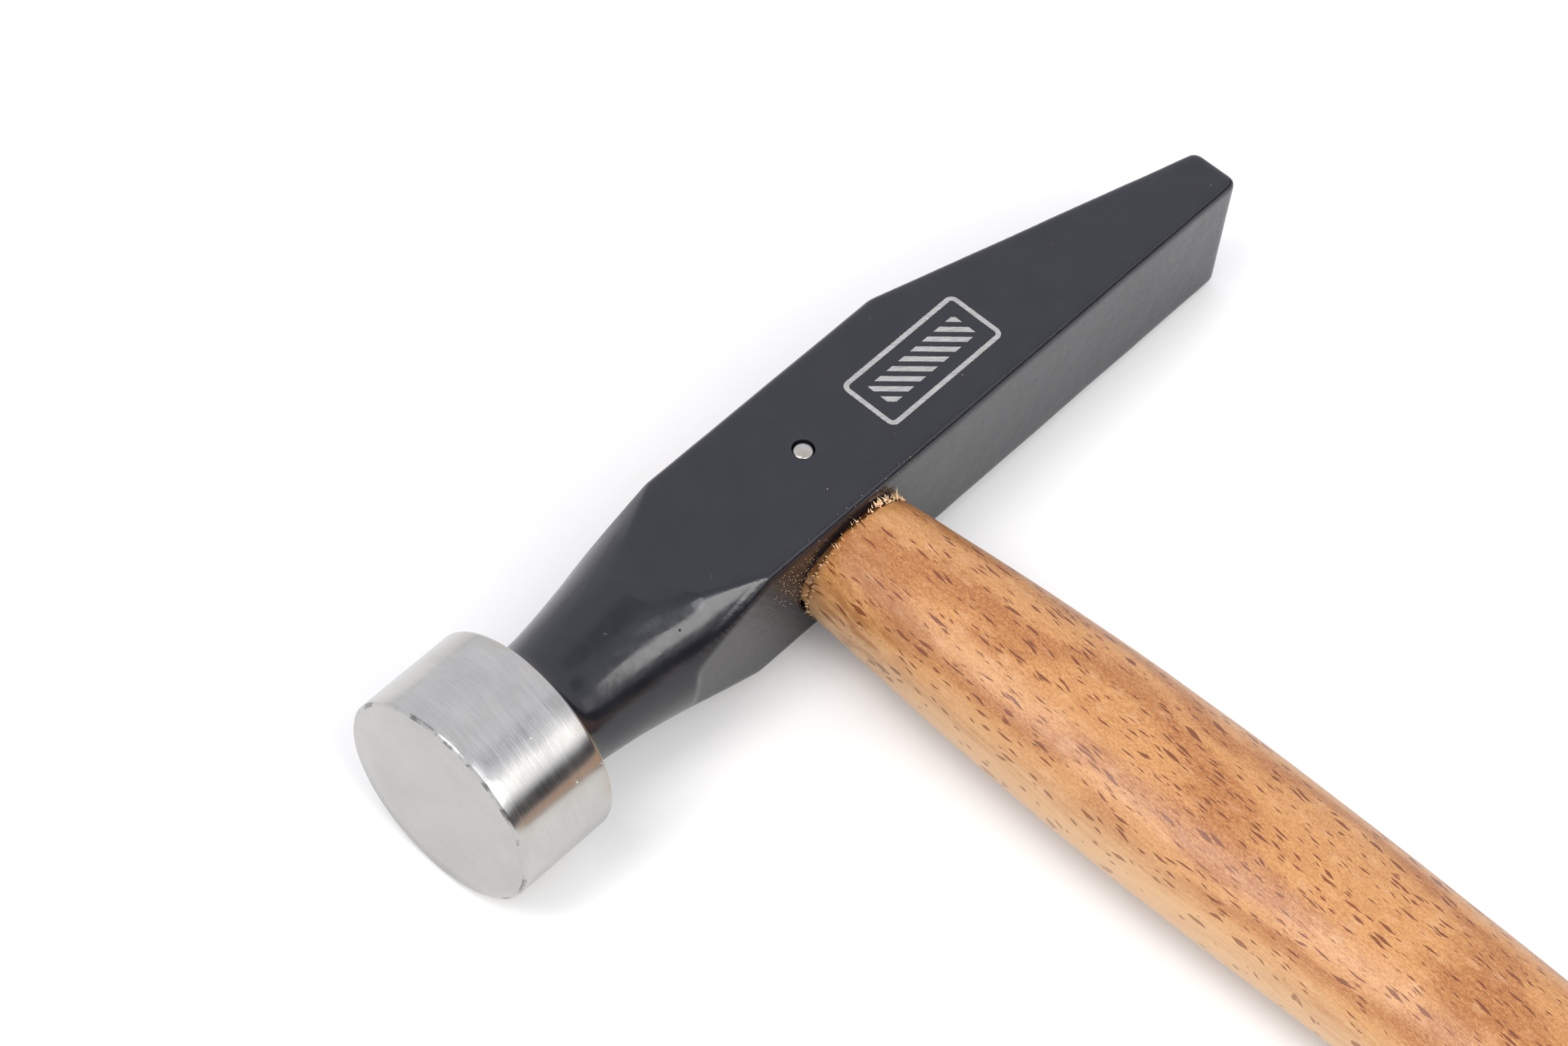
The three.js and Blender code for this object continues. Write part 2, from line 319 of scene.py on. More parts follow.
    @staticmethod
    def join(pieces: Sequence[bpy.types.Object], name: str) -> bpy.types.Object:
        """Join several objects into one and return it.

        Args:
            pieces: The objects, at least one.
            name: Name of the joined object.

        Returns:
            The joined object.
        """
        Bench.clear()
        for piece in pieces:
            piece.select_set(True)
        bpy.context.view_layer.objects.active = pieces[0]
        bpy.ops.object.join()
        return Bench.named(name)

    @staticmethod
    def transform(obj: bpy.types.Object, matrix: Matrix) -> None:
        """Move an object by a matrix and bake the move into its mesh.

        Args:
            obj: The object.
            matrix: The move, in metres.
        """
        obj.matrix_world = matrix
        Bench.pick(obj)
        bpy.ops.object.transform_apply(location=True, rotation=True, scale=True)


class Nodes:
    """A node tree with short calls for its common nodes."""

    def __init__(self, tree: bpy.types.NodeTree) -> None:
        """Take a node tree over and empty it."""
        self.tree = tree
        self.tree.nodes.clear()

    def new(self, kind: str) -> bpy.types.Node:
        """Return a new node of a kind."""
        return self.tree.nodes.new(kind)

    def link(self, source: bpy.types.NodeSocket, target: bpy.types.NodeSocket) -> None:
        """Join two sockets."""
        self.tree.links.new(source, target)

    def feed(self, socket: bpy.types.NodeSocket, value: object) -> None:
        """Give a socket a link or a plain value.

        Args:
            socket: The socket that is fed.
            value: A socket, a plain value, or None for neither.
        """
        if isinstance(value, bpy.types.NodeSocket):
            self.link(value, socket)
        elif value is not None:
            socket.default_value = value

    def split(self, vector: bpy.types.NodeSocket) -> tuple[bpy.types.NodeSocket, ...]:
        """Return the three components of a vector.

        Args:
            vector: The vector.

        Returns:
            X, Y and Z.
        """
        node = self.new("ShaderNodeSeparateXYZ")
        self.link(vector, node.inputs[0])
        return tuple(node.outputs)

    def join(self, x: object, y: object, z: object) -> bpy.types.NodeSocket:
        """Return a vector from three components.

        Args:
            x: Socket or number for X.
            y: Socket or number for Y.
            z: Socket or number for Z.

        Returns:
            The vector.
        """
        node = self.new("ShaderNodeCombineXYZ")
        for socket, value in zip(node.inputs, (x, y, z)):
            self.feed(socket, value)
        return node.outputs[0]

    def math(self, operation: str, first: object, second: object = None,
             clamp: bool = False) -> bpy.types.NodeSocket:
        """Return the result of a math node.

        Args:
            operation: Name of the operation.
            first: Socket or number.
            second: Socket, number or None.
            clamp: Whether the result is kept within 0 and 1.

        Returns:
            The result.
        """
        node = self.new("ShaderNodeMath")
        node.operation = operation
        node.use_clamp = clamp
        for socket, value in zip(node.inputs, (first, second)):
            self.feed(socket, value)
        return node.outputs[0]

    def vector_math(self, operation: str, first: object, second: object = None) -> bpy.types.NodeSocket:
        """Return the result of a vector math node.

        Args:
            operation: Name of the operation.
            first: Socket or vector.
            second: Socket, vector or None.

        Returns:
            A number for a length or a dot product, or else a vector.
        """
        node = self.new("ShaderNodeVectorMath")
        node.operation = operation
        self.feed(node.inputs[0], first)
        self.feed(node.inputs[1], second)
        return node.outputs["Value"] if operation in {"LENGTH", "DOT_PRODUCT"} else node.outputs[0]

    def noise(self, vector: bpy.types.NodeSocket, scale: float, detail: float = 2.0,
              roughness: float = 0.5) -> bpy.types.NodeSocket:
        """Return the value of a noise texture.

        Args:
            vector: Where the noise is looked up.
            scale: Waves to a unit of that vector.
            detail: How many finer layers are added.
            roughness: Strength of the finer layers.

        Returns:
            The noise, around 0.5.
        """
        node = self.new("ShaderNodeTexNoise")
        self.link(vector, node.inputs["Vector"])
        node.inputs["Scale"].default_value = scale
        node.inputs["Detail"].default_value = detail
        node.inputs["Roughness"].default_value = roughness
        return node.outputs["Fac"]

    def cells(self, vector: bpy.types.NodeSocket, scale: float,
              sharp: float | None = None) -> tuple[bpy.types.NodeSocket, bpy.types.NodeSocket]:
        """Return the distance to the nearest cell's point and that cell's random colour.

        Args:
            vector: Where the cells are looked up.
            scale: Cells to a unit of that vector.
            sharp: Exponent that gives the cells pointed ends, or None for round ones.

        Returns:
            The distance and the colour.
        """
        node = self.new("ShaderNodeTexVoronoi")
        self.link(vector, node.inputs["Vector"])
        node.inputs["Scale"].default_value = scale
        if sharp is not None:
            node.distance = "MINKOWSKI"
            node.inputs["Exponent"].default_value = sharp
        return node.outputs["Distance"], node.outputs["Color"]

    def ramp(self, value: object, low: float, high: float, out_low: float = 0.0,
             out_high: float = 1.0, soft: bool = True) -> bpy.types.NodeSocket:
        """Return a value carried from one range to another.

        Args:
            value: Socket or number.
            low: Value that gives out_low.
            high: Value that gives out_high.
            out_low: Result at low and beyond.
            out_high: Result at high and beyond.
            soft: Whether the ends are eased.

        Returns:
            The result.
        """
        node = self.new("ShaderNodeMapRange")
        node.interpolation_type = "SMOOTHSTEP" if soft else "LINEAR"
        self.feed(node.inputs["Value"], value)
        node.inputs["From Min"].default_value = low
        node.inputs["From Max"].default_value = high
        node.inputs["To Min"].default_value = out_low
        node.inputs["To Max"].default_value = out_high
        return node.outputs["Result"]

    def blend(self, factor: object, first: object, second: object) -> bpy.types.NodeSocket:
        """Return a colour between two colours.

        Args:
            factor: 0 for the first colour and 1 for the second.
            first: Socket or colour.
            second: Socket or colour.

        Returns:
            The colour.
        """
        node = self.new("ShaderNodeMix")
        node.data_type = "RGBA"
        self.feed(node.inputs["Factor"], factor)
        self.feed(node.inputs[6], first)
        self.feed(node.inputs[7], second)
        return node.outputs[2]

    def mix(self, factor: bpy.types.NodeSocket, first: object, second: object) -> bpy.types.NodeSocket:
        """Return a number between two numbers.

        Args:
            factor: 0 for the first number and 1 for the second.
            first: Socket or number.
            second: Socket or number.

        Returns:
            The number.
        """
        node = self.new("ShaderNodeMix")
        self.link(factor, node.inputs["Factor"])
        self.feed(node.inputs[2], first)
        self.feed(node.inputs[3], second)
        return node.outputs[0]

    def bump(self, height: bpy.types.NodeSocket, depth_mm: float,
             normal: bpy.types.NodeSocket | None = None) -> bpy.types.NodeSocket:
        """Return the normal of a surface raised by a height, in millimetres.

        Args:
            height: The height, as a share of the depth.
            depth_mm: The depth, in millimetres.
            normal: The normal before, or None for the mesh's own.

        Returns:
            The normal.
        """
        node = self.new("ShaderNodeBump")
        node.inputs["Strength"].default_value = 1.0
        node.inputs["Distance"].default_value = depth_mm * MM
        self.link(height, node.inputs["Height"])
        if normal:
            self.link(normal, node.inputs["Normal"])
        return node.outputs[0]


class Sheet(Nodes):
    """A piece's material, with its coordinates in hammer millimetres."""

    def __init__(self, name: str, frame: HammerFrame) -> None:
        """Start a material with one shader.

        Args:
            name: The material's name.
            frame: The hammer's own frame.
        """
        self.material = bpy.data.materials.new(name)
        self.material.use_nodes = True
        super().__init__(self.material.node_tree)
        self.shader = self.new("ShaderNodeBsdfPrincipled")
        output = self.new("ShaderNodeOutputMaterial")
        self.link(self.shader.outputs["BSDF"], output.inputs["Surface"])
        coordinates = self.new("ShaderNodeTexCoord")
        mapping = self.new("ShaderNodeMapping")
        location, rotation = frame.mapping()
        mapping.inputs["Location"].default_value = location
        mapping.inputs["Rotation"].default_value = rotation
        mapping.inputs["Scale"].default_value = (1 / MM, 1 / MM, 1 / MM)
        self.link(coordinates.outputs["Object"], mapping.inputs["Vector"])
        self.point = mapping.outputs["Vector"]
        self.x, self.y, self.z = self.split(self.point)

    def stretched(self, scale: Sequence[float], turn_deg: Sequence[float] = (0, 0, 0),
                  vector: bpy.types.NodeSocket | None = None) -> bpy.types.NodeSocket:
        """Return the point turned and then stretched along the turned axes.

        Args:
            scale: Stretch along X, Y and Z.
            turn_deg: Turn about X, Y and Z, in degrees.
            vector: The point, or None for the place in the hammer's frame.

        Returns:
            The new point.
        """
        turn = self.new("ShaderNodeMapping")
        turn.inputs["Rotation"].default_value = [math.radians(angle) for angle in turn_deg]
        self.link(vector or self.point, turn.inputs["Vector"])
        node = self.new("ShaderNodeMapping")
        node.inputs["Scale"].default_value = scale
        self.link(turn.outputs[0], node.inputs["Vector"])
        return node.outputs[0]

    def set(self, **values: object) -> None:
        """Give the shader's sockets values or links, by name with _ for spaces."""
        for name, value in values.items():
            self.feed(self.shader.inputs[name.replace("_", " ")], value)

    def near(self, centre: Sequence[float], inner: float, outer: float) -> bpy.types.NodeSocket:
        """Return 1 near a place in the hammer's frame, falling to 0 away from it."""
        away = self.vector_math("SUBTRACT", self.point, tuple(centre))
        return self.ramp(self.vector_math("LENGTH", away), inner, outer, 1.0, 0.0)


Colour = tuple[float, float, float, float]


def rgb(red: float, green: float, blue: float) -> Colour:
    """Return an opaque linear colour."""
    return (red, green, blue, 1.0)


@dataclass(frozen=True)
class EtchedPanel:
    """Plain hatched panel etched through the enamel on the upper cheek."""

    centre: tuple[float, float] = (116.0, -1.6)
    half_size: tuple[float, float] = (14.6, 6.2)
    corner: float = 1.6
    line: float = 0.9
    hatch_pitch: float = 3.1
    hatch_width: float = 1.55
    hatch_margin: float = 2.1
    least_corner: float = 0.3
    blur: float = 0.06
    ragged: float = 0.07
    cheek_above: float = 13.0

    def distance(self, sheet: Sheet, margin: float) -> bpy.types.NodeSocket:
        """Return the signed distance to the panel's rounded outline, moved in by a margin.

        Args:
            sheet: The material being built.
            margin: How far inside the panel the outline lies, in millimetres.

        Returns:
            The distance, below 0 inside the outline.
        """
        offset = sheet.vector_math("SUBTRACT", sheet.point, (*self.centre, 0.0))
        folded = sheet.split(sheet.vector_math("ABSOLUTE", offset))
        reach = [side - self.corner - margin for side in self.half_size]
        out_x = sheet.math("SUBTRACT", folded[0], reach[0])
        out_y = sheet.math("SUBTRACT", folded[1], reach[1])
        outside = sheet.vector_math("LENGTH", sheet.join(
            sheet.math("MAXIMUM", out_x, 0.0), sheet.math("MAXIMUM", out_y, 0.0), 0.0))
        inside = sheet.math("MINIMUM", sheet.math("MAXIMUM", out_x, out_y), 0.0)
        corner = max(self.corner - margin, self.least_corner)
        return sheet.math("SUBTRACT", sheet.math("ADD", outside, inside), corner)

    def mask(self, sheet: Sheet) -> bpy.types.NodeSocket:
        """Return 1 where the enamel is etched away and 0 elsewhere.

        Args:
            sheet: The material being built.

        Returns:
            The mask.
        """
        ragged = sheet.ramp(sheet.noise(sheet.point, 7.0, 3.0), 0.3, 0.7,
                            -self.ragged, self.ragged, soft=False)
        edge = sheet.math("ADD", self.distance(sheet, 0.0), ragged)
        frame_line = sheet.math(
            "MULTIPLY", sheet.ramp(edge, -self.blur, self.blur, 1.0, 0.0),
            sheet.ramp(edge, -self.line - self.blur, -self.line + self.blur, 0.0, 1.0))
        slant = sheet.math("ADD", sheet.x, sheet.y)
        phase = sheet.math("PINGPONG", sheet.math("ADD", slant, ragged), self.hatch_pitch / 2)
        half = self.hatch_width / 2
        stripe = sheet.ramp(phase, half - self.blur, half + self.blur, 1.0, 0.0)
        inner = sheet.ramp(self.distance(sheet, self.hatch_margin), -self.blur, self.blur, 1.0, 0.0)
        marks = sheet.math("MAXIMUM", frame_line, sheet.math("MULTIPLY", stripe, inner))
        on_top = sheet.math("GREATER_THAN", sheet.z, self.cheek_above)
        return sheet.math("MULTIPLY", marks, on_top)


@dataclass(frozen=True)
class ForgedEnamel:
    """Satin black enamel over the forged head, with an etched panel and workshop dust."""

    black: Colour = rgb(0.0070, 0.0074, 0.0105)
    etched: Colour = rgb(0.60, 0.59, 0.56)
    dust: Colour = rgb(0.62, 0.42, 0.20)
    roughness: float = 0.165
    etched_roughness: float = 0.5
    dust_roughness: float = 0.8
    lump_depth: float = 0.07
    peel_depth: float = 0.012
    streak_depth: float = 0.10
    pit_depth: float = 0.10
    pitted_cells: float = 0.14
    dust_per_mm: float = 1.9
    dust_size: tuple[float, float] = (0.05, 0.28)
    dust_share: float = 0.005
    shoulder: tuple[float, float, float] = (70.5, -14.4, 6.0)
    shoulder_share: float = 0.8
    worn_edge: tuple[float, float, float] = (86.0, -14.0, 14.0)
    worn_share: float = 0.35
    panel: EtchedPanel = field(default_factory=EtchedPanel)

    def build(self, frame: HammerFrame) -> bpy.types.Material:
        """Build the material.

        Args:
            frame: The hammer's own frame.

        Returns:
            The finished material.
        """
        sheet = Sheet("forged_enamel", frame)
        etched = self.panel.mask(sheet)
        dust = self.dust_mask(sheet)
        patina = sheet.noise(sheet.point, 0.16, 4.0, 0.6)
        black = sheet.blend(sheet.ramp(patina, 0.35, 0.7), self.black,
                            tuple(1.35 * value for value in self.black[:3]) + (1.0,))
        brushed = sheet.noise(sheet.stretched((0.5, 9.0, 1.0), (0, 0, 38)), 1.0, 3.0, 0.7)
        silver = sheet.blend(sheet.ramp(brushed, 0.3, 0.75), self.etched,
                             tuple(0.55 * value for value in self.etched[:3]) + (1.0,))
        coloured = sheet.blend(etched, black, silver)
        coloured = sheet.blend(dust, coloured, self.dust)
        rough = sheet.ramp(sheet.noise(sheet.point, 0.5, 3.0), 0.3, 0.7,
                           self.roughness - 0.02, self.roughness + 0.04)
        rough = sheet.math("MAXIMUM", rough, sheet.math("MULTIPLY", etched, self.etched_roughness))
        rough = sheet.math("MAXIMUM", rough, sheet.math("MULTIPLY", dust, self.dust_roughness))
        metallic = sheet.math("MULTIPLY", etched, sheet.math("SUBTRACT", 1.0, dust), clamp=True)
        sheet.set(Base_Color=coloured, Roughness=rough, Metallic=metallic, Normal=self.relief(sheet))
        return sheet.material

    def relief(self, sheet: Sheet) -> bpy.types.NodeSocket:
        """Return the enamel's normal: orange peel, lumps, pits and streaks on the handle side.

        Args:
            sheet: The material being built.

        Returns:
            The normal.
        """
        peel = sheet.noise(sheet.point, 0.75, 2.0, 0.45)
        lumps = sheet.noise(sheet.point, 0.14, 3.0, 0.5)
        normal = sheet.bump(lumps, self.lump_depth)
        normal = sheet.bump(peel, self.peel_depth, normal)
        streaks = sheet.noise(sheet.stretched((0.9, 0.3, 0.22), (0, 34, 0)), 1.0, 4.0, 0.6)
        on_side = sheet.ramp(sheet.y, -13.4, -12.6, 1.0, 0.0)
        beyond_neck = sheet.ramp(sheet.x, 40.0, 60.0)
        streaks = sheet.math("MULTIPLY", streaks, sheet.math("MULTIPLY", on_side, beyond_neck))
        normal = sheet.bump(streaks, self.streak_depth, normal)
        spots, colour = sheet.cells(sheet.point, 0.30)
        chosen = sheet.math("GREATER_THAN", sheet.split(colour)[0], 1.0 - self.pitted_cells)
        pits = sheet.math("MULTIPLY", sheet.ramp(spots, 0.03, 0.10, 1.0, 0.0), chosen)
        return sheet.bump(sheet.math("MULTIPLY", pits, -1.0), self.pit_depth, normal)

    def dust_mask(self, sheet: Sheet) -> bpy.types.NodeSocket:
        """Return 1 on dust: sparse specks all over and dense ones by the handle's shoulder.

        Args:
            sheet: The material being built.

        Returns:
            The mask.
        """
        grains, colour = sheet.cells(sheet.point, self.dust_per_mm)
        red, green, _ = sheet.split(colour)
        size = sheet.ramp(green, 0.0, 1.0, *self.dust_size, soft=False)
        by_shoulder = sheet.near(self.shoulder, 1.5, 9.0)
        edge = sheet.vector_math("LENGTH", sheet.join(
            0.0, sheet.math("ADD", sheet.y, 13.9), sheet.math("SUBTRACT", sheet.z, 13.9)))
        worn = sheet.math("MULTIPLY", sheet.ramp(edge, 0.5, 1.1, 1.0, 0.0),
                          sheet.near(self.worn_edge, 8.0, 20.0))
        size = sheet.math("MULTIPLY", size, sheet.ramp(by_shoulder, 0.0, 0.2, 0.6, 1.0))
        grain = sheet.ramp(sheet.math("SUBTRACT", grains, size), -0.02, 0.04, 1.0, 0.0)
        share = sheet.math("ADD", sheet.math("MULTIPLY", by_shoulder, self.shoulder_share), self.dust_share)
        share = sheet.math("ADD", share, sheet.math("MULTIPLY", worn, self.worn_share))
        chosen = sheet.math("LESS_THAN", red, share)
        return sheet.math("MULTIPLY", grain, chosen)


@dataclass(frozen=True)
class TurnedSteel:
    """Bare turned steel with circular tool marks, nicks and faint warm stains."""

    name: str = "turned_steel"
    bright: Colour = rgb(0.54, 0.532, 0.51)
    dull: Colour = rgb(0.40, 0.395, 0.378)
    stain: Colour = rgb(0.42, 0.33, 0.22)
    painted_dark_rim: Colour = rgb(0.10, 0.095, 0.09)
    roughness: float = 0.21
    stretch: float = 0.78
    mark_depth: float = 0.008
    nick_depth: float = 0.10
    nicked_cells: float = 0.14
    face_edge: tuple[float, float] = (0.15, 0.45)
    rim_radius: tuple[float, float] = (19.25, 19.5)
    rim_edge: tuple[float, float] = (0.45, 0.62)
    rim_strength: float = 0.7
    stained_from: tuple[float, float] = (16.5, 20.4)
    stain_strength: float = 0.55
    tangent: tuple[float, float, float] = (1.0, 0.05, 0.08)

    def build(self, frame: HammerFrame) -> bpy.types.Material:
        """Build the material.

        Args:
            frame: The hammer's own frame.

        Returns:
            The finished material.
        """
        sheet = Sheet(self.name, frame)
        round_marks = sheet.noise(sheet.stretched((4.2, 0.10, 0.10)), 1.0, 5.0, 0.75)
        slant_marks = sheet.noise(sheet.stretched((4.0, 0.14, 0.14), (0, 7, 9)), 1.0, 4.0, 0.75)
        face_marks = sheet.noise(sheet.stretched((1.0, 6.0, 0.3), (28, 0, 0)), 1.0, 4.0, 0.7)
        on_face = sheet.ramp(sheet.x, *self.face_edge, 1.0, 0.0)
        blotches = sheet.noise(sheet.point, 0.11, 4.0, 0.6)
        marks = sheet.math("ADD", sheet.math("MULTIPLY", round_marks, 0.5),
                           sheet.math("MULTIPLY", slant_marks, 0.5))
        worked = sheet.math("MULTIPLY", sheet.math("SUBTRACT", 1.0, on_face), 0.75)
        level = sheet.math("ADD", sheet.math("MULTIPLY", sheet.math("SUBTRACT", marks, 0.5), worked),
                           sheet.math("MULTIPLY", sheet.math("SUBTRACT", blotches, 0.5), 0.5))
        shade = sheet.ramp(level, -0.20, 0.18, soft=False)
        coloured = sheet.blend(shade, self.dull, self.bright)
        radius = sheet.vector_math("LENGTH", sheet.join(0.0, sheet.y, sheet.z))
        # A thin dark line along the front rim, broken up by noise: painted shade standing in for the dark
        # reflection on the chamfer.
        rim = sheet.math("MULTIPLY", sheet.ramp(radius, *self.rim_radius),
                         sheet.ramp(sheet.x, *self.rim_edge, 1.0, 0.0))
        rim = sheet.math("MULTIPLY", rim, sheet.ramp(sheet.noise(sheet.point, 0.28, 4.0, 0.6), 0.46, 0.60))
        coloured = sheet.blend(sheet.math("MULTIPLY", rim, self.rim_strength), coloured, self.painted_dark_rim)
        warm = sheet.math("MULTIPLY", sheet.ramp(sheet.x, *self.stained_from),
                          sheet.ramp(sheet.noise(sheet.point, 0.22, 4.0, 0.7), 0.42, 0.72))
        coloured = sheet.blend(sheet.math("MULTIPLY", warm, self.stain_strength), coloured, self.stain)
        rough = sheet.ramp(sheet.math("ADD", sheet.math("MULTIPLY", marks, 0.6),
                                      sheet.math("MULTIPLY", blotches, 0.4)),
                           0.3, 0.7, self.roughness - 0.05, self.roughness + 0.08)
        rough = sheet.math("ADD", rough, sheet.math("MULTIPLY", on_face, 0.12))
        turned = sheet.math("MULTIPLY", marks, sheet.math("SUBTRACT", 1.0, on_face))
        ground = sheet.math("MULTIPLY", face_marks, sheet.math("MULTIPLY", on_face, 0.35))
        normal = sheet.bump(sheet.math("ADD", turned, ground), self.mark_depth)
        normal = sheet.bump(self.nicks(sheet), self.nick_depth, normal)
        across = frame.direction(self.tangent)
        sheet.set(Base_Color=coloured, Metallic=1.0, Roughness=rough, Normal=normal,
                  Anisotropic=self.stretch, Tangent=sheet.join(*across))
        return sheet.material

    def nicks(self, sheet: Sheet) -> bpy.types.NodeSocket:
        """Return a height with small sparse dents.

        Args:
            sheet: The material being built.

        Returns:
            The height, 0 or below.
        """
        spots, colour = sheet.cells(sheet.stretched((0.35, 0.5, 0.5)), 1.0)
        chosen = sheet.math("GREATER_THAN", sheet.split(colour)[0], 1.0 - self.nicked_cells)
        dents = sheet.math("MULTIPLY", sheet.ramp(spots, 0.03, 0.12, 1.0, 0.0), chosen)
        return sheet.math("MULTIPLY", dents, -1.0)


@dataclass(frozen=True)
class RolledSteel:
    """Dull rolled steel of a small wedge."""

    grey: Colour = rgb(0.36, 0.355, 0.35)
    scale: Colour = rgb(0.12, 0.11, 0.10)

    def build(self, frame: HammerFrame) -> bpy.types.Material:
        """Build the material.

        Args:
            frame: The hammer's own frame.

        Returns:
            The finished material.
        """
        sheet = Sheet("rolled_steel", frame)
        patches = sheet.noise(sheet.point, 0.9, 4.0, 0.7)
        coloured = sheet.blend(sheet.ramp(patches, 0.4, 0.65), self.grey, self.scale)
        rough = sheet.ramp(patches, 0.3, 0.7, 0.35, 0.6)
        grain = sheet.noise(sheet.stretched((1.0, 6.0, 1.0)), 1.0, 3.0)
        sheet.set(Base_Color=coloured, Metallic=0.9, Roughness=rough,
                  Normal=sheet.bump(grain, 0.02))
        return sheet.material


@dataclass(frozen=True)
class RayLayer:
    """One size of ray: how closely it stands, how long it is and how many there are."""

    pitch: float
    length: float
    reach: float
    size: float
    share: float


@dataclass(frozen=True)
class Beech:
    """Lacquered beech: growth bands, fine fibres and dark rays that run out from the pith.

    The rays are thin plates. They show as short dark dashes where the surface
    faces along them and as broader flakes where it lies beside them.
    """

    name: str = "beech"
    pale: Colour = rgb(0.50, 0.248, 0.089)
    warm: Colour = rgb(0.28, 0.095, 0.022)
    # Partly paler wood, partly painted bounce light on the lower -X side.
    cream_with_painted_bounce: Colour = rgb(0.61, 0.38, 0.195)
    ray: Colour = rgb(0.150, 0.040, 0.012)
    dark_streak: Colour = rgb(0.25, 0.088, 0.020)
    flake: Colour = rgb(0.62, 0.38, 0.22)
    roughness: float = 0.30
    pith_turn: float = 16.0
    grain_slope: float = -0.06
    ray_strength: float = 0.95
    ray_layers: tuple[RayLayer, ...] = (RayLayer(0.84, 6.4, 3.4, 0.35, 0.78),
                                        RayLayer(0.64, 4.4, 2.6, 0.30, 0.72))
    ray_point: float = 1.25
    fibre_depth: float = 0.035
    band_weight: float = 0.40
    streak_weight: float = 0.55
    fine_weight: float = 0.80
    silk_weight: float = 1.80
    dark_streak_centre: tuple[float, float, float] = (71.0, -26.0, 6.0)
    dark_streak_strength: float = 0.65
    flake_strength: float = 0.20

    def build(self, frame: HammerFrame) -> bpy.types.Material:
        """Build the material.

        Args:
            frame: The hammer's own frame.

        Returns:
            The finished material.
        """
        sheet = Sheet(self.name, frame)
        grain = self.grain_space(sheet)
        coloured = self.ground_colour(sheet, grain)
        dashes = self.rays(sheet, grain)
        beside = sheet.ramp(sheet.math("ADD", sheet.x, sheet.z), 64.0, 84.0, 0.55, 1.0)
        strength = sheet.math("MULTIPLY", sheet.math("MULTIPLY", dashes, beside), self.ray_strength)
        coloured = sheet.blend(strength, coloured, self.ray)
        fibres = sheet.noise(sheet.stretched((5.0, 0.45, 5.0), vector=grain), 1.0, 4.0, 0.65)
        height = sheet.math("SUBTRACT", fibres, sheet.math("MULTIPLY", dashes, 0.5))
        normal = sheet.bump(height, self.fibre_depth)
        rough = sheet.ramp(fibres, 0.3, 0.7, self.roughness - 0.05, self.roughness + 0.1)
        sheet.set(Base_Color=coloured, Roughness=rough, Normal=normal)
        return sheet.material

    def grain_space(self, sheet: Sheet) -> bpy.types.NodeSocket:
        """Return grain coordinates: X across the rays, Y along the fibres, Z along the rays.

        Args:
            sheet: The material being built.

        Returns:
            The coordinates, in millimetres.
        """
        turned = sheet.stretched((1, 1, 1), (0, self.pith_turn, 0))
        drift = sheet.noise(sheet.stretched((0.03, 0.012, 0.03)), 1.0, 2.0)
        shift = sheet.ramp(drift, 0.2, 0.8, -3.0, 3.0, soft=False)
        slope = sheet.math("MULTIPLY", sheet.y, self.grain_slope)
        return sheet.vector_math("ADD", turned, sheet.join(sheet.math("ADD", shift, slope), 0.0, shift))

    def ground_colour(self, sheet: Sheet, grain: bpy.types.NodeSocket) -> bpy.types.NodeSocket:
        """Return the wood's colour without its rays, with painted bounce light on the lower -X side.

        Args:
            sheet: The material being built.
            grain: The grain coordinates.

        Returns:
            The colour.
        """
        _, along, depth = sheet.split(grain)
        swirl = sheet.noise(sheet.stretched((0.06, 0.022, 0.06)), 1.0, 3.0, 0.55)
        layer = sheet.math("ADD", sheet.math("MULTIPLY", depth, 0.95),
                           sheet.math("MULTIPLY", swirl, 16.0))
        layer = sheet.math("ADD", layer, sheet.math("MULTIPLY", along, 0.05))
        bands = sheet.ramp(sheet.math("SINE", layer), -0.9, 0.95)
        long_streaks = sheet.noise(sheet.stretched((1.5, 0.05, 1.5), vector=grain), 1.0, 3.0, 0.6)
        fine = sheet.noise(sheet.stretched((2.0, 0.34, 2.0), vector=grain), 1.0, 3.0, 0.6)
        silk = sheet.noise(sheet.stretched((3.6, 1.5, 3.6), vector=grain), 1.0, 2.0, 0.75)
        tone = sheet.math("MULTIPLY", bands, self.band_weight)
        for part, weight in ((long_streaks, self.streak_weight), (fine, self.fine_weight),
                             (silk, self.silk_weight)):
            tone = sheet.math("ADD", tone, sheet.math("MULTIPLY", part, weight))
        coloured = sheet.blend(sheet.ramp(tone, 1.34, 2.22, soft=False), self.pale, self.warm)
        # Paler towards the -X side and underneath: partly paler wood, partly painted light from the floor's
        # bounce and the grazing sheen there.
        beside = sheet.math("ADD", sheet.math("MULTIPLY", sheet.x, -0.046),
                            sheet.math("MULTIPLY", sheet.z, -0.034))
        beside = sheet.math("ADD", beside, sheet.math("MULTIPLY", long_streaks, 0.6))
        coloured = sheet.blend(sheet.ramp(beside, -3.42, -2.72), coloured, self.cream_with_painted_bounce)
        # Darker streaks near the shoulder, fading away from it.
        flow = sheet.noise(sheet.stretched((0.9, 0.10, 0.6), (0, 0, 14)), 1.0, 4.0, 0.6)
        near_shoulder = sheet.near(self.dark_streak_centre, 3.0, 17.0)
        dark = sheet.math("MULTIPLY", sheet.ramp(flow, 0.42, 0.60), near_shoulder)
        coloured = sheet.blend(sheet.math("MULTIPLY", dark, self.dark_streak_strength), coloured, self.dark_streak)
        patches, tints = sheet.cells(sheet.stretched((0.5, 0.22, 0.16), vector=grain), 1.0)
        chosen = sheet.math("GREATER_THAN", sheet.split(tints)[1], 0.6)
        flakes = sheet.math("MULTIPLY", sheet.ramp(patches, 0.12, 0.5, 1.0, 0.0), chosen)
        return sheet.blend(sheet.math("MULTIPLY", flakes, self.flake_strength), coloured, self.flake)

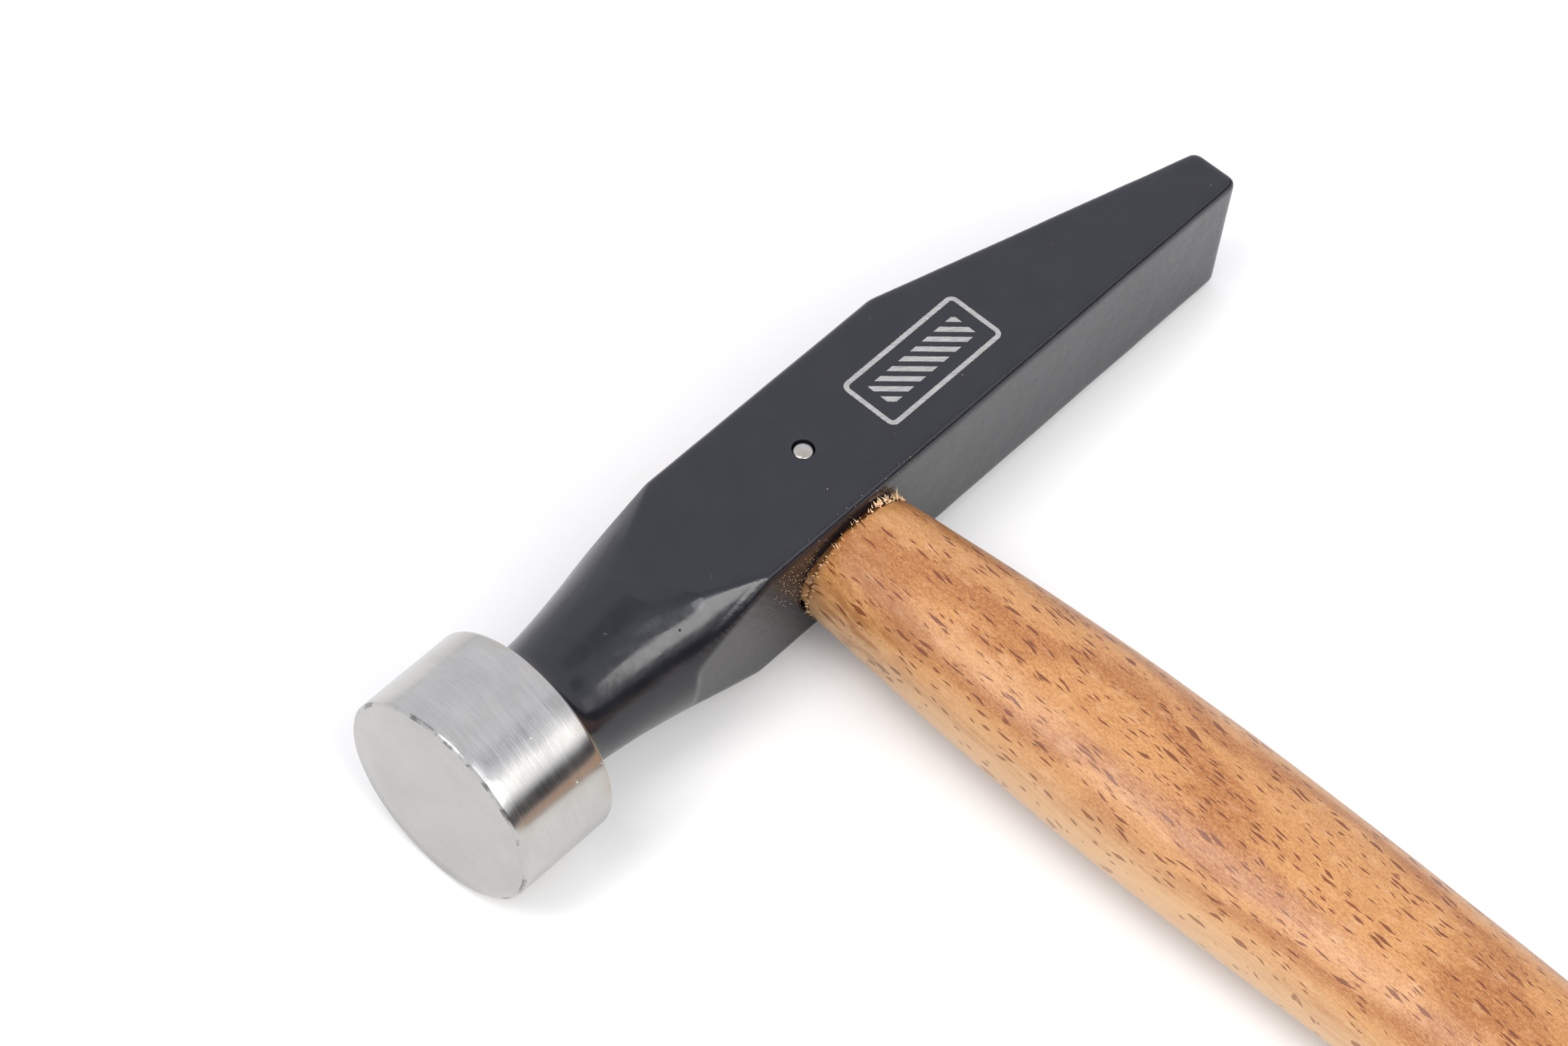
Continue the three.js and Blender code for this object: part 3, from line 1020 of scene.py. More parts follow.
    def rays(self, sheet: Sheet, grain: bpy.types.NodeSocket) -> bpy.types.NodeSocket:
        """Return 1 on the dark rays and 0 between them.

        Args:
            sheet: The material being built.
            grain: The grain coordinates.

        Returns:
            The mask.
        """
        wander = sheet.noise(sheet.stretched((0.35, 0.12, 0.1), vector=grain), 1.0, 2.0)
        slip = sheet.ramp(wander, 0.25, 0.75, -0.5, 0.5, soft=False)
        swayed = sheet.vector_math("ADD", grain, sheet.join(slip, 0.0, 0.0))
        dashes = None
        for layer in self.ray_layers:
            squeezed = sheet.stretched((1 / layer.pitch, 1 / layer.length, 1 / layer.reach),
                                       vector=swayed)
            distance, tint = sheet.cells(squeezed, 1.0, sharp=self.ray_point)
            red, green, _ = sheet.split(tint)
            limit = sheet.ramp(green, 0.0, 1.0, layer.size * 0.55, layer.size * 1.15, soft=False)
            dash = sheet.math("MULTIPLY", sheet.ramp(sheet.math("SUBTRACT", distance, limit),
                                                     -0.035, 0.01, 1.0, 0.0),
                              sheet.math("LESS_THAN", red, layer.share))
            dashes = dash if dashes is None else sheet.math("MAXIMUM", dashes, dash)
        return dashes


@dataclass(frozen=True)
class PaintedHead:
    """Neck, bar and peen under enamel, one piece with the bare disc at its end."""

    length: float = 188.0
    half_width: float = 14.4
    half_depth: float = 14.4
    edge_round: float = 1.6
    taper_start: float = 119.8
    peen_far_y: float = -4.4
    disc_thickness: float = 20.5
    flange_radius: float = 19.2
    neck_radius: float = 12.3
    neck_start: float = 28.0
    neck_slope: float = 0.112
    neck_curve: float = 0.0027
    fillet: float = 5.5
    eye_x: float = 85.1
    eye_half: tuple[float, float] = (12.4, 8.8)
    eye_mouth: float = 0.4
    lean_deg: float = 0.65
    pin_x: float = 87.0
    pin_hole: float = 2.06
    voxel: float = 0.49
    skin_passes: int = 6
    wave: float = 14.0
    wave_height: float = 0.16
    envelope_end: float = 68.0
    blend_start: float = 33.0
    blend_end: float = 52.0

    def neck_at(self, x: float) -> float:
        """Return the neck's radius at a distance from the striking face."""
        run = max(0.0, x - self.neck_start)
        return self.neck_radius + self.neck_slope * run + self.neck_curve * run * run

    def neck_outline(self, start: float, end: float, steps: int) -> list[tuple[float, float]]:
        """Return neck outline points between two distances."""
        places = [start + (end - start) * i / steps for i in range(steps + 1)]
        return [(x, self.neck_at(x)) for x in places]

    def bar(self) -> bpy.types.Object:
        """Model the square bar with its tapered peen and rounded edges.

        Returns:
            The bar.
        """
        Bench.clear()
        start = self.neck_start
        span = self.length - start
        bpy.ops.mesh.primitive_cube_add(
            size=1, location=((start + span / 2) * MM, 0, 0),
            scale=(span * MM, 2 * self.half_width * MM, 2 * self.half_depth * MM))
        obj = Bench.named("bar")
        end = (self.length - 0.1) * MM
        with Bench.editing(obj):
            bpy.ops.mesh.select_all(action="SELECT")
            bpy.ops.mesh.bisect(plane_co=(self.taper_start * MM, 0, 0), plane_no=(1, 0, 0))
            Bench.select_vertices(obj, lambda co: co.x > end and co.y > 0)
            drop = (self.peen_far_y - self.half_width) * MM
            bpy.ops.transform.translate(value=(0, drop, 0))
            Bench.select_edges(obj, lambda a, b: max(a.x, b.x) > (start + 1) * MM
                               and not self.is_bend(a, b))
            bpy.ops.mesh.bevel(offset=self.edge_round * MM, segments=5, profile=0.5,
                               affect="EDGES")
        return obj

    def is_bend(self, a: Vector, b: Vector) -> bool:
        """Tell whether an edge runs round the bar where the taper begins."""
        here = self.taper_start * MM
        return abs(a.x - here) < MM * 0.01 and abs(b.x - here) < MM * 0.01

    def envelope(self) -> bpy.types.Object:
        """Model the turned solid that cuts the bar's corners down to the neck."""
        outline = [*self.neck_outline(self.neck_start - 0.5, self.envelope_end, 20),
                   (self.length + 5, 32.0)]
        return Bench.turned("envelope", outline, 160)

    def neck(self) -> bpy.types.Object:
        """Model the flange behind the disc, the fillet and the round part of the neck.

        Returns:
            The turned solid.
        """
        turn = [math.radians(180 + 90 * i / 10) for i in range(11)]
        fillet = [(self.disc_thickness + self.fillet * (1 + math.cos(a)),
                   self.neck_radius + self.fillet * (1 + math.sin(a))) for a in turn]
        outline = [(self.disc_thickness - 1.2, self.flange_radius),
                   (self.disc_thickness - 0.3, self.flange_radius),
                   *fillet, *self.neck_outline(self.neck_start, 46.0, 8)]
        return Bench.turned("neck", outline, 160)

    def blend_cheeks(self, obj: bpy.types.Object) -> None:
        """Let the cheeks run softly into the neck.

        Args:
            obj: The head with its new skin.
        """
        start, end = self.blend_start * MM, self.blend_end * MM
        with Bench.editing(obj):
            Bench.select_vertices(obj, lambda co: start < co.x < end and abs(co.z) > 10 * MM
                                  and abs(co.y) < (4 * MM + (co.x - start) * 0.35))
            bpy.ops.mesh.vertices_smooth(factor=0.5, repeat=60)

    def eye(self) -> bpy.types.Object:
        """Model the oval cutter for the eye, flared at both mouths.

        Returns:
            The cutter in the head's place.
        """
        side = self.half_width
        rings = [(-side - 3, self.eye_mouth), (-side, self.eye_mouth), (-side + 3, 0.0),
                 (side - 3, 0.0), (side, self.eye_mouth), (side + 3, self.eye_mouth)]
        stations = [Station(at, self.eye_half[0] + grow, self.eye_half[1] + grow)
                    for at, grow in rings]
        obj = OvalLoft(96).build("eye", stations)
        Bench.transform(obj, handle_place(self.eye_x, self.lean_deg))
        return obj

    def pin_bore(self) -> bpy.types.Object:
        """Model the cutter for the cross pin's hole.

        Returns:
            The cutter in the head's place.
        """
        Bench.clear()
        bpy.ops.mesh.primitive_cylinder_add(
            vertices=48, radius=self.pin_hole * MM, depth=4 * self.half_depth * MM,
            location=(self.pin_x * MM, 0, 0))
        return Bench.named("pin_bore")

    def build(self) -> bpy.types.Object:
        """Model the painted part of the head.

        Returns:
            One closed piece in the hammer's own frame.
        """
        obj = self.bar()
        Bench.combine(obj, self.envelope(), Cut.KEEP_COMMON)
        Bench.combine(obj, self.neck(), Cut.JOIN)
        Bench.combine(obj, self.eye(), Cut.REMOVE)
        Bench.reskin(obj, self.voxel, self.skin_passes)
        self.blend_cheeks(obj)
        Bench.waver(obj, self.wave, self.wave_height)
        Bench.combine(obj, self.pin_bore(), Cut.REMOVE)
        Bench.smooth(obj, 45)
        obj.name = "head_painted"
        obj.data.name = "head_painted"
        return obj


@dataclass(frozen=True)
class StrikingDisc:
    """Bare turned disc at the end of the head."""

    radius: float = 20.0
    thickness: float = 20.5
    front_chamfer: float = 0.45
    back_round: float = 0.8

    def build(self) -> bpy.types.Object:
        """Model the disc with its chamfered front rim and rounded back rim.

        Returns:
            One closed piece in the hammer's own frame.
        """
        back = self.thickness - self.back_round
        turn = [math.radians(90 - 90 * i / 6) for i in range(1, 6)]
        corner = [(back + self.back_round * math.cos(a),
                   self.radius - self.back_round * (1 - math.sin(a))) for a in turn]
        outline = [(0.0, self.radius - self.front_chamfer - 0.12),
                   (0.04, self.radius - self.front_chamfer),
                   (self.front_chamfer, self.radius - 0.03),
                   (self.front_chamfer + 0.12, self.radius),
                   *[(back * i / 8, self.radius) for i in range(1, 9)],
                   *corner, (self.thickness, self.radius - self.back_round - 1.2)]
        obj = Bench.turned("striking_disc", outline, 192)
        with Bench.editing(obj):
            Bench.select_vertices(obj, lambda co: co.x < 0.01 * MM)
            bpy.ops.mesh.inset(thickness=4.0 * MM)
            bpy.ops.mesh.inset(thickness=6.0 * MM)
        Bench.smooth(obj, 32)
        return obj


@dataclass(frozen=True)
class Station:
    """One cross-section of an oval piece, at a distance along it."""

    at: float
    half_x: float
    half_z: float


@dataclass(frozen=True)
class OvalLoft:
    """Closed oval body along -Y through a list of stations."""

    segments: int
    power: float = 2.25

    def rounded(self, angle: float) -> tuple[float, float]:
        """Return a point of the rounded oval with half-axes of one.

        Args:
            angle: Angle round the oval, in radians.

        Returns:
            X and Z.
        """
        c, s = math.cos(angle), math.sin(angle)
        exponent = 2 / self.power
        return (math.copysign(abs(c) ** exponent, c), math.copysign(abs(s) ** exponent, s))

    def build(self, name: str, stations: Sequence[Station]) -> bpy.types.Object:
        """Extrude and resize an oval, station by station.

        Args:
            name: The new object's name.
            stations: Cross-sections in order, in millimetres.

        Returns:
            The closed body on its own axis.
        """
        Bench.clear()
        first = stations[0]
        bpy.ops.mesh.primitive_circle_add(
            vertices=self.segments, radius=1, fill_type="NGON", rotation=(math.pi / 2, 0, 0))
        obj = Bench.named(name)
        for vertex in obj.data.vertices:
            x, z = self.rounded(math.atan2(vertex.co.z, vertex.co.x))
            vertex.co = (x * first.half_x * MM, -first.at * MM, z * first.half_z * MM)
        with Bench.editing(obj):
            bpy.ops.mesh.select_all(action="SELECT")
            for before, here in zip(stations, stations[1:]):
                bpy.ops.mesh.extrude_region_move(
                    TRANSFORM_OT_translate={"value": (0, (before.at - here.at) * MM, 0)})
                bpy.ops.transform.resize(
                    value=(here.half_x / before.half_x, 1, here.half_z / before.half_z),
                    center_override=(0, -here.at * MM, 0))
            bpy.ops.mesh.select_all(action="SELECT")
            bpy.ops.mesh.normals_make_consistent(inside=False)
        return obj


def handle_place(eye_x: float, lean_deg: float) -> Matrix:
    """Return the move from the handle's own axis to its place in the head."""
    return Matrix.Translation((eye_x * MM, 0, 0)) @ Matrix.Rotation(math.radians(lean_deg), 4, "Z")


def smoothstep(value: float, low: float, high: float) -> float:
    """Return 0 to 1 with soft ends as a value goes from low to high."""
    t = min(1.0, max(0.0, (value - low) / (high - low)))
    return t * t * (3 - 2 * t)


def between(low: float, high: float, share: float) -> float:
    """Return the number a share of the way from low to high."""
    return low + (high - low) * share


@dataclass(frozen=True)
class Handle:
    """Oval beech handle with its tenon in the eye."""

    tenon_top: float = -15.1
    tenon_half: tuple[float, float] = (12.1, 8.5)
    tenon_chamfer: float = 0.8
    shoulder: float = 14.9
    shoulder_round: float = 1.0
    shoulder_half: float = 12.4
    swell_at: float = 95.0
    swell_half: float = 16.9
    waist_at: float = 200.0
    waist_half: float = 15.0
    grip_at: float = 288.0
    grip_half: float = 17.0
    end: float = 316.0
    butt_round: float = 6.0
    shoulder_flatness: float = 0.92
    body_flatness: float = 0.78
    eye_x: float = 85.1
    lean_deg: float = 0.65
    pin_x: float = 87.0
    pin_hole: float = 2.2
    tear: float = 0.42
    tear_reach: float = 2.6
    tear_slant: float = 0.10
    wave: float = 26.0
    wave_height: float = 0.25

    def half_width(self, at: float) -> float:
        """Return the body's half-width at a distance from the eye.

        Args:
            at: Distance from the head's axis, in millimetres.

        Returns:
            The half-width, in millimetres.
        """
        if at <= self.swell_at:
            share = max(0.0, at - self.shoulder) / (self.swell_at - self.shoulder)
            return between(self.shoulder_half, self.swell_half, math.sin(math.pi / 2 * share))
        if at <= self.waist_at:
            return between(self.swell_half, self.waist_half,
                           smoothstep(at, self.swell_at, self.waist_at))
        return between(self.waist_half, self.grip_half, smoothstep(at, self.waist_at, self.grip_at))

    def body_station(self, at: float, margin: float = 0.0) -> Station:
        """Return the body's section at a distance, drawn in by a margin.

        Args:
            at: Distance from the head's axis, in millimetres.
            margin: How far the section is drawn in, in millimetres.

        Returns:
            The section.
        """
        flatness = between(self.shoulder_flatness, self.body_flatness,
                           smoothstep(at, self.shoulder, self.swell_at))
        half = self.half_width(at)
        return Station(at, half - margin, half * flatness - margin)

    def stations(self) -> list[Station]:
        """Return every section from the tenon's top to the middle of the butt.

        Returns:
            The sections in order.
        """
        x, z = self.tenon_half
        tenon = [Station(self.tenon_top, x - self.tenon_chamfer, z - self.tenon_chamfer),
                 Station(self.tenon_top + self.tenon_chamfer, x, z),
                 *[Station(at, x, z) for at in (-10, -5, 0, 5, 10)],
                 Station(self.shoulder - 0.3, x, z)]
        quarter = [math.pi / 2 * i / 4 for i in range(5)]
        rim = [self.body_station(self.shoulder + self.shoulder_round * (1 - math.cos(a)),
                                 self.shoulder_round * (1 - math.sin(a))) for a in quarter]
        start, stop = self.shoulder + self.shoulder_round, self.end - self.butt_round
        body = [self.body_station(between(start, stop, i / 84)) for i in range(1, 85)]
        turn = [math.pi / 2 * i / 10 for i in range(1, 11)]
        butt = [self.body_station(stop + self.butt_round * math.sin(a),
                                  self.butt_round * (1 - math.cos(a))) for a in turn]
        last = butt[-1]
        cap = [Station(self.end + 0.02, last.half_x * share, last.half_z * share)
               for share in (0.8, 0.45, 0.1)]
        return [*tenon, *rim, *body, *butt, *cap]

    def tear_rim(self, obj: bpy.types.Object) -> None:
        """Make the shoulder's rim ragged, as cut fibres leave it.

        Args:
            obj: The handle on its own axis.
        """
        low, high = -(self.shoulder + self.tear_reach) * MM, -(self.shoulder - 0.1) * MM
        for vertex in obj.data.vertices:
            if low < vertex.co.y < high and abs(vertex.co.x) + abs(vertex.co.z) > 8 * MM:
                place = Vector((vertex.co.x, 0, vertex.co.z)) * 700
                tear = noise.noise(place) + 0.5 * noise.noise(place * 2.7)
                weight = (vertex.co.y - low) / (high - low)
                slant = self.tear_slant * max(0.0, vertex.co.x + 0.4 * vertex.co.z)
                vertex.co.y += (self.tear * MM * tear - slant) * weight

    def build(self, wedges: Sequence[bpy.types.Object]) -> bpy.types.Object:
        """Model the handle.

        Args:
            wedges: Solids that cut the kerfs for the wedges.

        Returns:
            One closed piece in the hammer's own frame.
        """
        obj = OvalLoft(128).build("handle_beech", self.stations())
        self.tear_rim(obj)
        for wedge in wedges:
            Bench.combine(obj, wedge, Cut.REMOVE)
        Bench.transform(obj, handle_place(self.eye_x, self.lean_deg))
        Bench.clear()
        bpy.ops.mesh.primitive_cylinder_add(
            vertices=48, radius=self.pin_hole * MM, depth=40 * MM, location=(self.pin_x * MM, 0, 0))
        Bench.combine(obj, Bench.named("pin_way"), Cut.REMOVE)
        Bench.waver(obj, self.wave, self.wave_height)
        Bench.smooth(obj, 40)
        return obj


@dataclass(frozen=True)
class Wedge:
    """Tapered wedge driven into the top of the tenon."""

    name: str
    top: float
    tip: float
    length: float
    depth: float
    across: bool
    shift: float = 0.0
    crown: float = -15.1
    edge_round: float = 0.18

    def build(self, grow: float = 0.0, name: str | None = None) -> bpy.types.Object:
        """Model the wedge, or a larger copy of it for cutting.

        Args:
            grow: How far every side stands out from the wedge, in millimetres.
            name: Name of the object, or None for the wedge's own.

        Returns:
            The closed solid on the handle's own axis.
        """
        Bench.clear()
        wide, thick, deep = (side + 2 * grow for side in (self.length, self.top, self.depth))
        upper = -self.crown + grow
        middle = upper - deep / 2
        size = (wide, deep, thick) if self.across else (thick, deep, wide)
        bpy.ops.mesh.primitive_cube_add(
            size=1, location=(self.shift * MM, middle * MM, 0), scale=[side * MM for side in size])
        obj = Bench.named(name or self.name)
        taper = (self.tip + 2 * grow) / thick
        with Bench.editing(obj):
            Bench.select_vertices(obj, lambda co: co.y < middle * MM)
            bpy.ops.transform.resize(value=(1, 1, taper) if self.across else (taper, 1, 1),
                                     center_override=(self.shift * MM, (upper - deep) * MM, 0))
        return obj

    def finish(self, obj: bpy.types.Object, eye_x: float, lean_deg: float) -> bpy.types.Object:
        """Round a wedge's edges and set it in the handle.

        Args:
            obj: The wedge on the handle's own axis.
            eye_x: Where the eye is along the head.
            lean_deg: How far the handle leans, in degrees.

        Returns:
            The finished wedge.
        """
        bevel = obj.modifiers.new("edges", "BEVEL")
        bevel.width = self.edge_round * MM
        bevel.segments = 2
        bevel.limit_method = "ANGLE"
        Bench.apply_modifiers(obj)
        Bench.transform(obj, handle_place(eye_x, lean_deg))
        Bench.smooth(obj, 35)
        return obj


@dataclass(frozen=True)
class CrossPin:
    """Steel pin through the cheeks and the tenon, with peened domes at its ends."""

    radius: float = 1.88
    half_length: float = 14.2
    dome: float = 0.45
    x: float = 87.0

    def build(self) -> bpy.types.Object:
        """Model the pin.

        Returns:
            One closed piece in the hammer's own frame.
        """
        rise = [math.pi / 2 * i / 10 for i in range(1, 11)]
        near = [(-self.half_length + self.dome * (1 - math.cos(a)), self.radius * math.sin(a))
                for a in rise]
        far = [(-x, r) for x, r in reversed(near)]
        obj = Bench.turned("cross_pin_steel", [*near, *far], 64)
        Bench.transform(obj, Matrix.Translation((self.x * MM, 0, 0))
                        @ Matrix.Rotation(math.pi / 2, 4, "Y"))
        for vertex in obj.data.vertices:
            if abs(vertex.co.z) > (self.half_length - self.dome) * MM:
                dent = noise.noise(vertex.co * 900) * 0.06 * MM
                vertex.co.z += math.copysign(dent, vertex.co.z)
        Bench.smooth(obj, 50)
        return obj


@dataclass(frozen=True)
class TornFibres:
    """Short torn fibres and crumbs round the handle's shoulder."""

    handle: Handle
    count: int = 220
    seed: int = 7
    chip_every: int = 12
    chip_size: float = 1.9
    chip_arc: tuple[float, float] = (0.55, 1.35)

    def sliver(self, rng: random.Random, size: float) -> bpy.types.Object:
        """Model one curled sliver of wood with its root at the origin, pointing along Y.

        Args:
            rng: Source of random numbers.
            size: How large the sliver is against the usual ones.

        Returns:
            The sliver.
        """
        length = (rng.uniform(0.25, 0.7) + 0.9 * rng.random() ** 9) * size * MM
        Bench.clear()
        bpy.ops.mesh.primitive_cone_add(
            vertices=5, radius1=rng.uniform(0.10, 0.26) * size * MM, radius2=0.02 * MM, depth=length,
            location=(0, length / 2, 0), rotation=(-math.pi / 2, 0, 0))
        obj = Bench.named("sliver")
        with Bench.editing(obj):
            bpy.ops.mesh.select_all(action="SELECT")
            bpy.ops.mesh.subdivide(number_cuts=2)
        curl = rng.uniform(-0.5, 0.9)
        flat = rng.uniform(0.35, 0.8)
        for vertex in obj.data.vertices:
            share = vertex.co.y / length
            vertex.co.x *= flat
            vertex.co.z += curl * length * share * share
        return obj

    def build(self) -> bpy.types.Object:
        """Model the fringe of fibres.

        Returns:
            One piece of many slivers in the hammer's own frame.
        """
        rng = random.Random(self.seed)
        loft = OvalLoft(8)
        section = self.handle.body_station(self.handle.shoulder + 0.9, 0.12)
        slivers = []
        for number in range(self.count):
            chip = number % self.chip_every == 0
            angle = rng.uniform(*self.chip_arc) if chip else rng.uniform(0, 2 * math.pi)
            x, z = loft.rounded(angle)
            obj = self.sliver(rng, self.chip_size if chip else 1.0)
            root = Vector((x * section.half_x, -self.handle.shoulder - rng.uniform(0.1, 1.4),
                           z * section.half_z)) * MM
            outward = math.atan2(z * section.half_x, x * section.half_z)
            turn = (Matrix.Rotation(-outward + math.pi / 2, 4, "Y")
                    @ Matrix.Rotation(rng.uniform(-0.5, 0.5), 4, "Z")
                    @ Matrix.Rotation(rng.uniform(0.0, 0.75), 4, "X"))
            Bench.transform(obj, Matrix.Translation(root) @ turn)
            slivers.append(obj)
        fringe = Bench.join(slivers, "shoulder_fibres")
        Bench.transform(fringe, handle_place(self.handle.eye_x, self.handle.lean_deg))
        Bench.smooth(fringe, 60)
        return fringe


@dataclass(frozen=True)
class Camera:
    """Camera that looks down on the hammer from beyond the striking face."""

    place: tuple[float, float, float] = (-0.32744, -0.11155, 0.59979)
    target: tuple[float, float, float] = (-0.01068, 0.1475, 0.015)
    roll_deg: float = 3.899
    lens: float = 95.0

    def build(self) -> bpy.types.Object:
        """Create the camera and make it the scene's.

        Returns:
            The camera object.
        """
        data = bpy.data.cameras.new("camera")
        data.lens = self.lens
        data.sensor_width = 36.0
        data.clip_start = 0.01
        data.clip_end = 50.0
        camera = bpy.data.objects.new("camera", data)
        bpy.context.scene.collection.objects.link(camera)
        sight = Vector(self.target) - Vector(self.place)
        aim = sight.to_track_quat("-Z", "Y").to_matrix().to_4x4()
        roll = Matrix.Rotation(math.radians(self.roll_deg), 4, "Z")
        camera.matrix_world = Matrix.Translation(self.place) @ aim @ roll
        bpy.context.scene.camera = camera
        return camera


@dataclass(frozen=True)
class SoftBox:
    """Rectangular soft light aimed at the hammer."""

    name: str
    direction: tuple[float, float, float]
    distance: float
    size: tuple[float, float]
    power: float
    colour: tuple[float, float, float]
    middle: tuple[float, float, float] = (70.0, -20.0, 0.0)

    def build(self, frame: HammerFrame) -> bpy.types.Object:
        """Create the light where the direction, in the hammer's frame, points from its middle.

        Args:
            frame: The hammer's own frame.

        Returns:
            The light.
        """
        data = bpy.data.lights.new(self.name, "AREA")
        data.shape = "RECTANGLE"
        data.size, data.size_y = self.size
        data.energy = self.power
        data.color = self.colour
        light = bpy.data.objects.new(self.name, data)
        bpy.context.scene.collection.objects.link(light)
        aim = frame.direction(self.direction)
        middle = frame.place(self.middle)
        place = middle + aim * self.distance
        light.matrix_world = (Matrix.Translation(place)
                              @ (-aim).to_track_quat("-Z", "Y").to_matrix().to_4x4())
        return light


@dataclass(frozen=True)
class Studio:
    """Pale floor, white surround with a dim low side, and soft boxes."""

    floor_colour: Colour = rgb(0.73, 0.725, 0.71)
    surround: float = 1.05
    surround_tint: Colour = rgb(0.98, 0.99, 1.06)
    floor_lift: float = 0.06
    floor_size: float = 12.0
    backdrop_level: float = 1.1
    low_side: float = 0.08
    low_direction: tuple[float, float, float] = (0.25, -0.97, 0.0)
    low_turn: tuple[float, float] = (-0.1, 0.5)
    low_height: tuple[float, float] = (0.33, 0.22)
    patch_core: float = 0.4
    dim_patches: tuple[tuple[tuple[float, float, float], float, float], ...] = (
        ((0.10, 0.16, 0.98), 19.0, 0.66), ((0.40, -0.37, 0.84), 12.0, 0.62))
    boxes: tuple[SoftBox, ...] = (
        SoftBox("bright_box", (-0.13, -0.765, 0.63), 1.3, (0.72, 0.50), 7.0, (1.0, 0.98, 0.93)),
        SoftBox("side_box", (0.42, -0.74, 0.52), 1.35, (0.36, 0.46), 0.40, (1.0, 0.97, 0.90)),
        SoftBox("wide_box", (-0.14, -0.50, 0.86), 1.4, (0.42, 0.64), 3.6, (0.88, 0.93, 1.0)),
        SoftBox("left_box", (-0.47, 0.17, 0.86), 1.4, (0.46, 0.84), 8.6, (1.0, 0.98, 0.97)),
    )

    def floor(self) -> bpy.types.Object:
        """Create the floor.

        Returns:
            The floor, which is part of the stage.
        """
        Bench.clear()
        bpy.ops.mesh.primitive_plane_add(size=self.floor_size)
        floor = Bench.named("floor")
        material = bpy.data.materials.new("floor_paper")
        material.use_nodes = True
        shader = material.node_tree.nodes["Principled BSDF"]
        shader.inputs["Base Color"].default_value = self.floor_colour
        shader.inputs["Roughness"].default_value = 0.9
        shader.inputs["Specular IOR Level"].default_value = 0.1
        seen = material.node_tree.nodes.new("ShaderNodeLightPath")
        lift = material.node_tree.nodes.new("ShaderNodeMath")
        lift.operation = "MULTIPLY"
        lift.inputs[1].default_value = self.floor_lift
        material.node_tree.links.new(seen.outputs["Is Camera Ray"], lift.inputs[0])
        shader.inputs["Emission Color"].default_value = rgb(1.0, 1.0, 1.0)
        material.node_tree.links.new(lift.outputs[0], shader.inputs["Emission Strength"])
        floor.data.materials.append(material)
        return floor

    def world(self, frame: HammerFrame) -> bpy.types.World:
        """Create the surround: white to the eye, dim near the horizon on the handle's side.

        Args:
            frame: The hammer's own frame.

        Returns:
            The surround.
        """
        world = bpy.data.worlds.new("surround")
        world.use_nodes = True
        nodes = Nodes(world.node_tree)
        toward = nodes.new("ShaderNodeTexCoord").outputs["Generated"]
        facing = nodes.vector_math("DOT_PRODUCT", toward, frame.direction(self.low_direction))
        side = nodes.ramp(facing, *self.low_turn)
        low = nodes.ramp(nodes.split(toward)[2], *self.low_height)
        radiance = nodes.ramp(nodes.math("MULTIPLY", side, low), 0.0, 1.0,
                              self.surround, self.low_side, soft=False)
        for direction, reach_deg, share in self.dim_patches:
            facing = nodes.vector_math("DOT_PRODUCT", toward, frame.direction(direction))
            edge = math.cos(math.radians(reach_deg))
            core = math.cos(math.radians(reach_deg * self.patch_core))
            radiance = nodes.math("MULTIPLY", radiance, nodes.ramp(facing, edge, core, 1.0, share))
        seen = nodes.new("ShaderNodeLightPath").outputs["Is Camera Ray"]
        background = nodes.new("ShaderNodeBackground")
        nodes.feed(background.inputs["Color"], self.surround_tint)
        nodes.feed(background.inputs["Strength"], nodes.mix(seen, radiance, self.backdrop_level))
        output = nodes.new("ShaderNodeOutputWorld")
        nodes.link(background.outputs[0], output.inputs["Surface"])
        bpy.context.scene.world = world
        return world

    def build(self, frame: HammerFrame) -> None:
        """Set up the floor, the surround, the lights and plain colour handling.

        Args:
            frame: The hammer's own frame.
        """
        self.floor()
        self.world(frame)
        for box in self.boxes:
            box.build(frame)
        bpy.context.scene.view_settings.view_transform = "Standard"
        bpy.context.scene.view_settings.look = "None"


